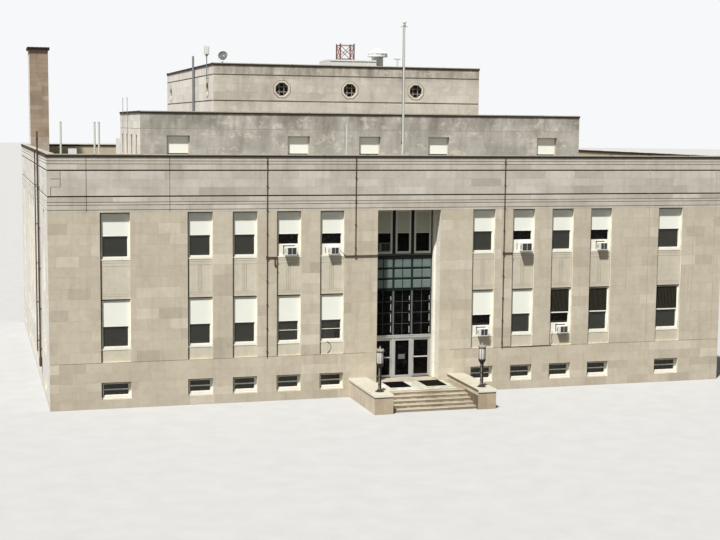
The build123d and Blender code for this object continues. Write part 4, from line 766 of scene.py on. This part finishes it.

# Linings of the reveals: pale stone at the sides of each bay and window, and over the heads. The paleness is painted
# sunlight from the left.
linings = Shape()
back = SASH - 0.021
for _, place, _, _, bays in WALLS:
    linings.place = place
    for centre, width in bays:
        a, b = centre - width / 2, centre + width / 2
        for k, (v0, v1) in enumerate([(0.46, 0.89), (0.89, 1.32)] + courses(RECESS_LOW, HEAD, 14)):
            depth = back if k < 2 or v1 < 5.6 and v0 > 2.9 or v0 > 7.4 else RECESS - 0.004
            rows = ((a, a + 0.003, v0 + 0.002, v1 - 0.002), (b - 0.003, b, v0 + 0.002, v1 - 0.002))
            linings.bars(0.0, depth, rows, rng.uniform(0.2, 1.0), back=False)
        # dark strips: along the left side of each panel and window and under each window head they are painted shadow;
        # the narrow one at the right of each panel is a sealed joint
        for v0, v1 in ((2.36, 2.93), (5.51, 7.45)):
            rows = ((a + 0.003, a + 0.06, v0, v1), (b - 0.012, b - 0.003, v0, v1))
            linings.bars(RECESS - 0.007, RECESS, rows, 0.5, 1, False)
        for v0, v1 in ((0.56, 1.32), (3.03, 5.51), (7.55, HEAD)):
            rows = ((a + 0.003, a + 0.066, v0, v1), (a + 0.066, b - 0.003, v1 - 0.055, v1 - 0.003))
            linings.bars(SASH - 0.03, SASH, rows, 0.5, 1, False)
        for depth, top in ((0.0, HEAD), (0.0, 1.32), (RECESS, 5.51)):
            linings.block(a, b, depth, back, top - 0.003, top, 0.2, back=False)
linings.build("reveal_linings", [m_lining_painted_light, m_joint_and_shade_line], "limestone")

# Window units: cases with fins behind a frame, side louvres, and boards that close the sash beside them
# Each has its window's centre, its left and right edges, its foot and top, and the depth of its front.
UNIT_ROWS = (
    (4.22, 3.99, 4.53, 3.0, 3.4, -0.11), (8.83, 8.67, 9.24, 3.0, 3.4, -0.11),
    (-6.525, -6.74, -6.13, 7.58, 8.0, -0.11), (-4.22, -4.4, -3.87, 7.58, 7.97, -0.11),
    (6.525, 6.36, 6.95, 7.58, 8.03, -0.21), (11.135, 10.98, 11.5, 7.57, 7.97, -0.11),
    (None, -1.4, -0.78, 7.58, 8.05, 0.9),
)
cases = Shape()
for x, u0, u1, low, top, near in UNIT_ROWS:
    # the one in the portal has no window of its own
    depth, case = (1.06, 4) if x is None else (SASH + 0.08, 0)
    edge, louvre = 0.035, 0.002
    g0, g1, foot, head = u0 + (0.03 if near < -0.2 else 0.13), u1 - edge, low + edge, top - edge
    cases.block(u0, u1, near + 0.03, depth, low, top, slot=case)
    cases.bars(near, near + 0.03, ((u0, u1, head, top), (u0, u1, low, foot), (u0, g0, foot, head),
                                   (g1, u1, foot, head)), slot=case)
    cases.block(g0, g1, near + 0.022, near + 0.03, foot, head, 0.1, 1)
    for k in range(11):
        z = foot + 0.006 + (head - foot - 0.03) * k / 10
        cases.face(((g0, near + 0.004, z), (g1, near + 0.004, z),
                    (g1, near + 0.02, z + 0.013), (g0, near + 0.02, z + 0.013)), 0.4, 2)
    middle = (g0 + g1) / 2
    cases.block(middle - 0.008, middle + 0.008, near + 0.002, near + 0.02, foot, head, slot=case)
    for k in range(5):
        y = near + 0.07 + k * 0.035
        for side in (u0 - louvre, u1):
            cases.block(side, side + louvre, y, y + 0.014, low + 0.1, top - 0.12, 0.1, 1)
    if x is None:
        continue
    for w in (u0 + 0.05, u1 - 0.08):
        cases.block(w, w + 0.03, near + 0.05, 0.1, low - 0.04, low)
    half, board = BAY / 2 - 0.1, SASH - 0.018
    foot, head = low - 0.06, top + 0.16
    cases.bars(board, SASH, ((x - half, u0, foot, head), (u1, x + half, foot, head), (u0, u1, top, head)), slot=3)
    # painted shade of the gap round the case: a grey strip at its left, and for the other units a dark strip over it as
    # well
    if x in (-4.22, 6.525):
        cases.block(u0 - 0.16, u0 - 0.12, board - 0.004, board, low + 0.06, top - 0.03, slot=4)
    else:
        cases.block(u0 - 0.07, u1 - 0.05, board - 0.004, board, top + 0.02, top + 0.075, slot=1)
        cases.block(u0 - 0.07, u0 - 0.02, board - 0.004, board, low + 0.02, top + 0.075, slot=4)
cases.build("unit_details", [m_case, m_dark, m_fin, m_white, m_mullion], "unit_case", replaces=("air_conditioners",))

# Portal: glazed tiles, muntins, mullion strips, sash stiles and boards, and the bright transom
portal = Shape()
for a, b in LIGHTS:
    cell = (b - a) / 2
    for column in range(2):
        for row in range(3):
            u0, v0 = a + (cell + 0.02 if column else -0.034), 5.595 + 0.56 * row
            u1, v1 = u0 + cell + 0.014, v0 + 0.445
            t = rng.uniform(0.3, 0.8)
            portal.slab(u0, u1, v0, v1, 1.055, 0.012, 0.012, t)
            portal.slab(u0 + 0.03, u1 - 0.03, v0 + 0.03, v1 - 0.03, 1.043, 0.004, 0.01, t)
    middle = (a + b) / 2
    portal.block(middle - 0.007, middle + 0.007, 1.09, 1.104, 3.05, 5.45, slot=4)
    for k in range(1, 4):
        z = 3.05 + 0.6 * k
        portal.block(a, b, 1.092, 1.104, z - 0.007, z + 0.007, slot=4)
        # painted glint: a bright strip at the right of each light, broken at the muntins where their shade falls
        portal.block(b - 0.045, b - 0.014, 1.085, 1.1, z - rng.uniform(0.45, 0.53), z - rng.uniform(0.05, 0.2), slot=1)
    portal.block(b - 0.045, b - 0.014, 1.085, 1.1, 4.93, 5.15, slot=1)
    # grey stiles and rails round the upper lights, a board in their upper half in a darker copy of the board paint:
    # painted shade
    u0, u1 = a + 0.1, b - 0.1
    portal.bars(1.03, 1.06, ((a, u0, 7.45, 9.795), (u1, b, 7.45, 9.795), (u0, u1, 7.45, 7.575),
                             (u0, u1, 9.7, 9.795)), slot=5)
    portal.block(u0, u1, 1.034, 1.06, 8.6, 9.7, slot=6)
    portal.block(u0, u1, 1.03, 1.06, 8.575, 8.6, slot=5)
for x in (-0.5233, 0.5233):
    portal.block(x - 0.04, x + 0.04, 1.03, FRAME, 3.05, 5.5, slot=7)
    portal.block(x - 0.05, x + 0.05, 1.046, FRAME, 5.5, 7.2, slot=8)
    portal.block(x - 0.02, x + 0.02, 1.036, FRAME, 7.2, 9.79, slot=2)
for near, v0, v1, slot in ((1.0, 7.37, 7.42, 4), (1.022, 7.18, 7.37, 2), (1.018, 5.452, 5.50, 2),
                           (1.014, 2.89, 2.985, 3), (1.004, 2.995, 3.045, 3)):
    portal.block(-REVEAL_HALF, REVEAL_HALF, near, FRAME, v0, v1, slot=slot)
for side in (-1, 1):
    portal.bars(1.03, FRAME, [(*mirrored(side, 1.57, 1.6), 3.06, 9.8)], slot=4)
portal.build("portal_trim", [m_tile, m_bead_and_glint, m_bronze, m_alu, m_muntin, m_portal_grey, m_portal_board_painted_shade, m_mullion,
                             m_tile_joint], "portal_bronze", bevel=0.002)

# Portal jambs: deep outer reveals, a splay towards the glazing, and stone by stone linings in the paler stone, whose
# paleness is painted sunlight
jambs = Shape()
PLAN = ((PORTAL_HALF, 0.0), (PORTAL_HALF, 0.7), (REVEAL_HALF, 0.84), (REVEAL_HALF, 1.35), (PIER_HALF, 1.35),
        (PIER_HALF, 0.0))
FACES = (((1.747, 0.0), (1.747, 0.698)), ((1.747, 0.702), (1.65, 0.836)), ((1.647, 0.84), (1.647, 1.045)))
for side in (-1, 1):
    def upright(p, q, low, high, tint, slot):
        corners = ((side * p[0], p[1], low), (side * q[0], q[1], low), (side * q[0], q[1], high),
                   (side * p[0], p[1], high))
        jambs.face(corners[::side], tint, slot)

    for p, q in zip(PLAN, PLAN[1:] + PLAN[:1]):
        upright(p, q, 0.0, HEAD, 0.5, 1)
    jambs.face([(side * x, y, 0.0) for x, y in PLAN][::-side], slot=1)
    jambs.face([(side * x, y, HEAD) for x, y in PLAN][::side], slot=1)
    jambs.bars(0.12, 0.84, [(*mirrored(side, REVEAL_HALF, PORTAL_HALF), 0.0, LANDING)], 0.6, 2)
    for v0, v1 in courses(0.72, HEAD, 11):
        t = rng.uniform(0.3, 1.0)
        for p, q in FACES:
            upright(p, q, v0 + 0.002, v1 - 0.002, t, 0)
jambs.build("portal_jambs", [m_lining_painted_light, m_joint, m_step], "limestone", replaces=("portal_piers",))

# Door leaves: beads round the panes, rose plates at the handles, locks and a sweep at the foot
for side, name in ((-1, "left_door"), (1, "right_door")):
    leaf = Shape()
    low_x, high_x = mirrored(side, 0.5893, 1.564)
    p0, p1, z0, z1 = low_x + 0.07, high_x - 0.07, 0.846, 2.764
    u0, u1 = p0 + 0.012, p1 - 0.012
    for near, far in ((1.064, 1.0865), (1.0985, 1.121)):
        leaf.bars(near, far, ((p0 - 0.004, u0, z0 - 0.008, z1 + 0.008), (u1, p1 + 0.004, z0 - 0.008, z1 + 0.008),
                              (u0, u1, z0 - 0.008, z0 + 0.014), (u0, u1, z1 - 0.014, z1 + 0.008)))
    grip = side * 0.6243
    for z in (1.67, 1.97):
        leaf.lathe_y(grip, z, ((0.0, 1.06), (0.018, 1.06), (0.022, 1.064), (0.022, 1.07)))
    leaf.lathe_y(grip, 1.5, ((0.0, 1.058), (0.014, 1.058), (0.017, 1.062), (0.017, 1.07)))
    leaf.block(u0, u1, 1.075, 1.0865, 1.79, 1.85, slot=3)
    leaf.block(low_x + 0.02, high_x - 0.02, 1.064, 1.07, 0.715, 0.75, slot=1)
    leaf.block(p0 - 0.02, p1 + 0.02, 1.066, 1.07, 0.765, 0.825, slot=2)
    leaf.build(name + "_fittings", [m_alu, m_dark, m_steel, m_bead_and_glint], "door_aluminium", name, 0.0015)

# The frame round the doors: stops, beads round the fixed pane, its bare sheet and a ribbed threshold
around = Shape()
for side in (-1, 1):
    for near, a, b, v0, v1 in ((1.035, 0.3833, 0.4033, 0.79, 2.77), (1.036, 0.425, 0.565, 0.72, 2.88),
                               (1.03, 1.60, 1.648, 0.72, 2.88)):
        around.bars(near, FRAME, [(*mirrored(side, a, b), v0, v1)])
around.bars(1.04, FRAME, ((-0.383, 0.383, 0.79, 0.82), (-0.383, 0.383, 2.74, 2.77)))
around.block(-0.19, 0.19, 1.1, 1.103, 1.72, 1.98, slot=1)
for k in range(5):
    around.block(-1.48, 1.48, 0.94 + 0.02 * k, 0.95 + 0.02 * k, LANDING, LANDING + 0.004)
around.build("door_surround", [m_alu, m_mullion], "door_aluminium", bevel=0.0015)

# Steps and landing: stones with worn edges, and small pavers inside a border
paving = Shape()
for k in range(5):
    level, y0 = LANDING - RISE * k, -2.73 - TREAD * k
    paving.place = deck(level)
    back = y0 + TREAD if k else y0 + 0.35
    marks = [-CHEEK_IN, -0.78 + 0.3 * (k % 2), 0.72 + 0.3 * (k % 2), CHEEK_IN]
    for u0, u1 in zip(marks, marks[1:]):
        paving.slab(u0 + 0.002, u1 - 0.002, y0 + 0.004, back - 0.002, 0, 0.004, 0.004, rng.uniform(0.5, 0.9))
        # leaf litter and soot gather against the riser
        for _ in range(7 if k else 0):
            stain = rng.uniform(u0, u1 - 0.3)
            paving.block(stain, stain + rng.uniform(0.1, 0.3), -0.0045, 0.0, back - rng.uniform(0.02, 0.08),
                         back - 0.002, rng.random(), 3)
    paving.place = front
    for u0, u1 in zip(marks, marks[1:]):
        # painted shade: the riser below the nosing takes dark tints, the nosing pale ones
        for low, high, proud, edge, dark, pale in ((0.045, 0.003, 0.012, 0.008, 0.7, 1.0),
                                                   (0.138, 0.05, 0.003, 0.003, 0.0, 0.3)):
            paving.slab(u0 + 0.002, u1 - 0.002, level - low, level - high, y0, proud, edge,
                        rng.uniform(dark, pale), 1)
paving.place = deck(LANDING)
for u0, u1, v0, v1 in ((-2.25, -1.95, -2.38, 0), (1.95, 2.25, -2.38, 0), (-1.95, 1.95, -0.12, 0)):
    lay_row(paving, v0, v1, [(u0, u1)], 1.3, 0.4, shade(0.85, 0.05, 0))
course, row = -2.378, 0
while course < -0.13:
    lay_row(paving, course, min(course + 0.1, -0.122), [(-1.95, 1.95)], 0.2, 0.1 * (row % 2),
            shade(0.5, 0.3, 0.3), 2, 0.003)
    course += 0.1
    row += 1
for u0, u1 in ((-REVEAL_HALF, 0), (0, REVEAL_HALF)):
    paving.slab(u0 + 0.002, u1 - 0.002, 0.002, 0.92, 0, 0.004, 0.004, 0.8)
paving.build("step_stones", [m_step, m_riser, m_landing, m_mat_brown], "step_stone")

cheeks = Shape()
for side in (-1, 1):
    u0, u1 = mirrored(side, CHEEK_IN, CHEEK_LIP)
    cheeks.place = deck(1.0)
    for v0, v1, tint in ((-4.63, -3.2, 0.9), (-3.196, -1.6, 0.75), (-1.596, 0.0, 0.85)):
        cheeks.slab(u0, u1, v0, v1, 0, 0.004, 0.006, tint, 1)
    cheeks.place = front
    cheeks.slab(u0, u1, 0.862, 0.998, -4.63, 0.004, 0.004, 0.8, 2)
    w0, w1 = mirrored(side, CHEEK_IN, CHEEK_OUT)
    middle = (w0 + w1) / 2
    cheeks.slab(w0, middle, 0.0, 0.855, CHEEK_FRONT, 0.005, 0.004, 0.25)
    cheeks.slab(middle, w1, 0.0, 0.855, CHEEK_FRONT, 0.005, 0.004, 0.45)
    away, towards = (RIGHT, LEFT) if side > 0 else (LEFT, RIGHT)
    outer = sides_of(-CHEEK_OUT, CHEEK_OUT, 0, 0)[away]
    lip = sides_of(-CHEEK_LIP, CHEEK_LIP, 0, 0)[away]
    inner = sides_of(CHEEK_IN, -CHEEK_IN, 0, 0)[towards]
    # painted sunlight: the sides take paler tints than the fronts
    for place, v0, v1, slot, pale in ((outer, 0.0, 0.43, 0, 0.8), (outer, 0.434, 0.855, 0, 0.9),
                                      (lip, 0.862, 0.998, 2, 0.8), (inner, 0.712, 0.855, 0, 0.8)):
        cheeks.place = place
        marks = (CHEEK_FRONT, -3.3, -1.8, 0.0) if place(1, 0, 0)[1] > 0 else (0.0, 1.8, 3.3, -CHEEK_FRONT)
        for m0, m1 in zip(marks, marks[1:]):
            cheeks.slab(m0 + 0.002, m1 - 0.002, v0, v1, tint=pale + rng.uniform(-0.1, 0.1), slot=slot)
cheeks.build("cheek_stones", [m_tan, m_cap, m_lining_painted_light], "step_stone")

mats = Shape(deck(0.715))
for x, slot in ((-0.88, 0), (1.10, 1)):
    a, b = x - 0.565, x + 0.565
    for k in range(36):
        v = -1.58 + 0.041 * k
        mats.block(a + 0.03, b - 0.03, -0.006, 0.0, v, v + 0.026, rng.random(), slot)
    mats.bars(-0.008, 0.0, ((a, b, -1.6, -1.575), (a, b, -0.125, -0.1), (a, a + 0.03, -1.6, -0.1),
                            (b - 0.03, b, -1.6, -0.1)), slot=slot)
mats.build("mat_ribs", [m_mat, m_mat_brown], "mat")

# Flagpole: a truck under the ball, a halyard and its cleat
pole = Shape()
pole.collar(-0.14, 0.9, 19.5, 0.05, 0.075, (0.02, 0.06, 0.08), 16)
for x in (-0.205, -0.215):
    pole.tube(((x, 0.88, 13.4), (x - 0.01, 0.88, 16.5), (x, 0.88, 19.52)), 0.005, 6, slot=1)
pole.block(-0.235, -0.195, 0.86, 0.9, 13.32, 13.42, slot=1)
for z in (12.07, 12.3):
    pole.collar(-0.14, 0.9, z, 0.13, 0.145, (0.01, 0.05, 0.06), 20)
pole.build("flagpole_fittings", [m_pole, m_dark], "pole_paint", smooth=True)

# Roof gear: straps on the vent and the curb
vents = Shape()
for z, r in ((18.64, 0.662), (18.83, 0.655)):
    vents.collar(3.0, 16.0, z, r - 0.02, r, (0.004, 0.024, 0.03), 36)
vents.lathe(3.0, 16.0, ((0.655, 18.852), (0.5, 18.93), (0.3, 19.02), (0.1, 19.1), (0.06, 19.145), (0.0, 19.15)), 36)
for k in range(12):
    t = k * math.pi / 6 + 0.1
    vents.tube([(3.0 + r * math.cos(t), 16.0 + r * math.sin(t), z)
                for r, z in ((0.65, 18.868), (0.5, 18.948), (0.3, 19.036), (0.1, 19.116))], 0.009, 6)
x0, x1, y0, y1, top = -0.48, 2.52, 14.69, 17.31, 18.36
for k in range(7):
    u = x0 + (x1 - x0) * k / 6
    vents.block(u - 0.015, u + 0.015, y0 - 0.002, y1 + 0.002, 17.5, top + 0.008)
vents.block(x0 - 0.02, x1 + 0.02, y0 - 0.02, y1 + 0.02, top - 0.09, top - 0.05)
vents.build("vent_details", [m_vent], "vent_metal", smooth=True)

# Masts, an antenna panel and a dish
gear = Shape()
for y in (18.415, 18.585):
    for z in (14.8, 15.9, 17.0, 18.3):
        gear.collar(MAST_X, y, z, 0.05, 0.062, (0.006, 0.034, 0.04), 14)
gear.block(-8.61, -8.324, 13.32, 13.6, 18.395, 18.91, slot=1)
gear.block(-8.55, -8.385, 13.30, 13.32, 18.44, 18.86, slot=1)
gear.lathe(MAST_X, 13.46, ((0.06, 18.3), (0.075, 18.32), (0.075, 18.38), (0.05, 18.395)), 16)
gear.lathe_y(-7.6, 18.3, ((0.0, 12.905), (0.12, 12.89), (0.22, 12.85), (0.285, 12.79), (0.305, 12.775), (0.31, 12.79),
                          (0.27, 12.9), (0.16, 12.97), (0.0, 12.99)), 28, slot=1)
gear.tube(((-7.6, 12.9, 18.05), (-7.6, 12.62, 18.2), (-7.6, 12.56, 18.28)), 0.012)
gear.lathe_y(-7.6, 18.29, ((0.0, 12.5), (0.04, 12.51), (0.045, 12.58), (0.02, 12.6)), 12, slot=1)
for y in (12.7, 15.0):
    for k in range(6):
        gear.collar(-13.3, y, 12.3 + 3.4 * k / 5, 0.014, 0.024, (0.004, 0.03, 0.034), 10)
gear.build("mast_details", [m_mast, m_vent], "mast_metal", smooth=True)
posts = Shape()
for x, y in ((-3.055, 1.5), (-17.77, 3.0), (-16.07, 3.0), (-15.85, 3.0)):
    posts.lathe(x, y, ((0.09, 12.052), (0.09, 12.07), (0.07, 12.075)), 16)
    posts.lathe(x, y, ((0.05, 14.3), (0.058, 14.305), (0.058, 14.325), (0.03, 14.335), (0.0, 14.337)), 16)
posts.build("post_caps", [m_pole], "pole_paint", smooth=True)

# Conduits: straps, boxes at the bends, slack cables by the units and the service pipes on the left wall
runs = Shape()
for x, low in CONDUITS:
    z = low
    while z < 12.5:
        runs.block(x - 0.05, x + 0.05, -0.06, 0.0, z, z + 0.025)
        z += 1.22
    runs.block(x - 0.06, x + 0.06, -0.07, 0.0, 7.43, 7.55)
runs.bars(-0.05, 0.0, ((-7.3, -7.24, 7.04, 7.5), (-7.24, -7.17, 7.04, 7.08)))
CABLES = (
    (-0.02, (-3.9, 7.95), (-3.75, 7.7), (-3.5, 7.52), (-3.3, 7.47), (-2.99, 7.49)),
    (0.1, (-4.45, 3.0), (-4.3, 2.9), (-4.22, 2.7), (-4.3, 2.5), (-4.42, 2.38)),
    (0.1, (8.4, 3.1), (8.36, 2.8), (8.4, 2.5), (8.3, 2.36)), (0.1, (4.7, 3.1), (4.76, 2.8), (4.72, 2.4)),
    (-0.02, (5.4, 2.36), (6.6, 2.345), (8.3, 2.35)),
)
for y, *path in CABLES:
    runs.tube([(x, y, z) for x, z in path], 0.011, 6)
for y, radius, high in ((6.75, 0.05, 12.75), (6.95, 0.045, 13.8), (9.9, 0.035, 12.75)):
    runs.tube(((LEFT_PIPES_X, y, 1.4), (LEFT_PIPES_X, y, 12.6), (-18.755, y, high)), radius, 10)
runs.block(-18.82, -18.7, 6.6, 7.1, 13.4, 13.44)
for z in (2.0, 4.2, 6.4, 8.6, 10.8):
    runs.block(-18.8, -18.66, 6.65, 7.05, z, z + 0.04)
    runs.block(-18.8, -18.66, 9.84, 9.96, z, z + 0.04)
runs.block(-18.82, -18.66, 6.6, 7.1, 1.1, 1.55)
runs.build("conduit_straps", [m_conduit], "conduit")

# Lanterns: a moulded foot, clustered rods with collars, a ribbed glass drum and a low lobed cap
FOOT = ((0.23, 1.0), (0.23, 1.02), (0.21, 1.03), (0.17, 1.035), (0.16, 1.06), (0.13, 1.07), (0.12, 1.11),
        (0.09, 1.13), (0.05, 1.16), (0.045, 2.2))
CAP = ((0.185, 3.05), (0.215, 3.06), (0.215, 3.08), (0.185, 3.1), (0.15, 3.12), (0.11, 3.15), (0.06, 3.17),
       (0.04, 3.19), (0.036, 3.22), (0.046, 3.24), (0.025, 3.26), (0.012, 3.29), (0.003, 3.338))
ARM = ((0.06, 2.16), (0.09, 2.22), (0.13, 2.29), (0.165, 2.34), (0.18, 2.42))
lamps = Shape()
for x in (-2.735, 2.735):
    y = -3.8

    def about(radius, t, z=None):
        """A point on a circle round the lantern's axis."""
        point = (x + radius * math.cos(t), y + radius * math.sin(t))
        return point if z is None else (*point, z)

    lamps.lathe(x, y, FOOT, 28)
    for k, t in enumerate(angles(4, math.pi / 4)):
        lamps.lathe(*about(0.062, t), ((0.034, 1.12), (0.034, 1.17), (0.026, 1.18), (0.026, 2.2), (0.034, 2.21),
                                       (0.034, 2.22)), 12, slot=1 - k % 2)
        for lobe in (0.0, 0.4):
            lamps.tube([about(r, t + lobe, z) for r, z in ARM], 0.012)
    for z in (1.36, 1.75, 2.08):
        lamps.collar(x, y, z, 0.08, 0.1, (0.008, 0.024, 0.032), 20)
    lamps.lathe(x, y, ((0.05, 2.2), (0.11, 2.23), (0.15, 2.3), (0.185, 2.37), (0.19, 2.41), (0.17, 2.42)), 28)
    lamps.lathe(x, y, ((0.16, 2.42), (0.172, 2.5), (0.176, 2.98), (0.165, 3.05)), 32, slot=2)
    for t in angles(8, 0.2):
        lamps.lathe(*about(0.178, t), ((0.01, 2.42), (0.01, 3.06)), 8)
    for z in (2.42, 3.03):
        lamps.collar(x, y, z, 0.176, 0.19, (0.006, 0.022, 0.028), 28)
    lamps.lathe(x, y, CAP, 28, slot=1)
    for t in angles(6):
        lamps.lathe(*about(0.165, t), ((0.03, 3.08), (0.04, 3.11), (0.034, 3.15), (0.012, 3.18)), 12, slot=1)
lamps.build("lanterns", [m_iron, m_iron_light, m_lens], "lantern_iron", smooth=True,
            replaces=("entrance_lanterns",))

# Camera at the photograph's angle
yaw, pitch, roll = math.radians(16.3248), math.radians(-6.1570), math.radians(0.5510)
ahead = Vector((math.sin(yaw) * math.cos(pitch), math.cos(yaw) * math.cos(pitch), math.sin(pitch)))
side = ahead.cross(Vector((0, 0, 1))).normalized()
up = side.cross(ahead)
across = math.cos(roll) * side + math.sin(roll) * up
above = -math.sin(roll) * side + math.cos(roll) * up
camera = bpy.data.objects.new("camera", bpy.data.cameras.new("camera"))
camera.data.lens = 66.946
camera.data.sensor_width = 36.0
camera.data.clip_end = 3000
turn = Matrix((across, above, -ahead)).transposed().to_4x4()
camera.matrix_world = Matrix.Translation((-22.329, -66.986, 14.261)) @ turn
bpy.context.scene.collection.objects.link(camera)
bpy.context.scene.camera = camera


# Floor, sky and sun. The camera and mirrors see a pale floor and sky; both light the object less.
def seen_rays(tree):
    """1 for camera, glossy and transmission rays, 0 for the rest."""
    path = tree.nodes.new("ShaderNodeLightPath")
    value = path.outputs["Is Camera Ray"]
    for ray in ("Is Glossy Ray", "Is Transmission Ray"):
        node = tree.nodes.new("ShaderNodeMath")
        node.operation = "MAXIMUM"
        tree.links.new(value, node.inputs[0])
        tree.links.new(path.outputs[ray], node.inputs[1])
        value = node.outputs[0]
    return value


floor_mesh = bpy.data.meshes.new("floor")
ring = [(900 * math.cos(t), 900 * math.sin(t) + 15, -0.004) for t in angles(48)]
floor_mesh.from_pydata(ring, [], [tuple(range(48))])
floor = bpy.data.objects.new("floor", floor_mesh)
bpy.context.scene.collection.objects.link(floor)
n = Nodes("floor_plaster")
speckle = n.noise(0.8, 4)
pale = n.ramp(speckle, ((0.3, (161, 161, 160)), (0.7, (166, 166, 165))))
ground = n.ramp(speckle, ((0.3, (84, 84, 80)), (0.7, (94, 94, 90))))
floor_mesh.materials.append(n.finish(n.mix(seen_rays(n.tree), ground, pale), 0.9, specular=0.1))

world = bpy.data.worlds.new("sky")
bpy.context.scene.world = world
world.use_nodes = True
tree = world.node_tree
background = tree.nodes["Background"]
background.inputs["Color"].default_value = (0.95, 0.97, 1.0, 1)
background.inputs["Strength"].default_value = 0.25
shown = tree.nodes.new("ShaderNodeBackground")
shown.inputs["Color"].default_value = (0.93, 0.94, 0.95, 1)
shown.inputs["Strength"].default_value = 1.0
blend = tree.nodes.new("ShaderNodeMixShader")
for socket, source in zip(blend.inputs, (seen_rays(tree), background.outputs[0], shown.outputs[0])):
    tree.links.new(source, socket)
tree.links.new(blend.outputs[0], tree.nodes["World Output"].inputs["Surface"])

sun = bpy.data.objects.new("sun", bpy.data.lights.new("sun", "SUN"))
sun.data.energy = 6.8
sun.data.angle = math.radians(2.5)
sun.data.color = (1.0, 0.982, 0.955)
sun.rotation_mode = "QUATERNION"
sun.rotation_quaternion = Vector((0.86, 1.0, -2.57)).to_track_quat("-Z", "Y")
bpy.context.scene.collection.objects.link(sun)

bpy.context.scene.view_settings.view_transform = "Standard"
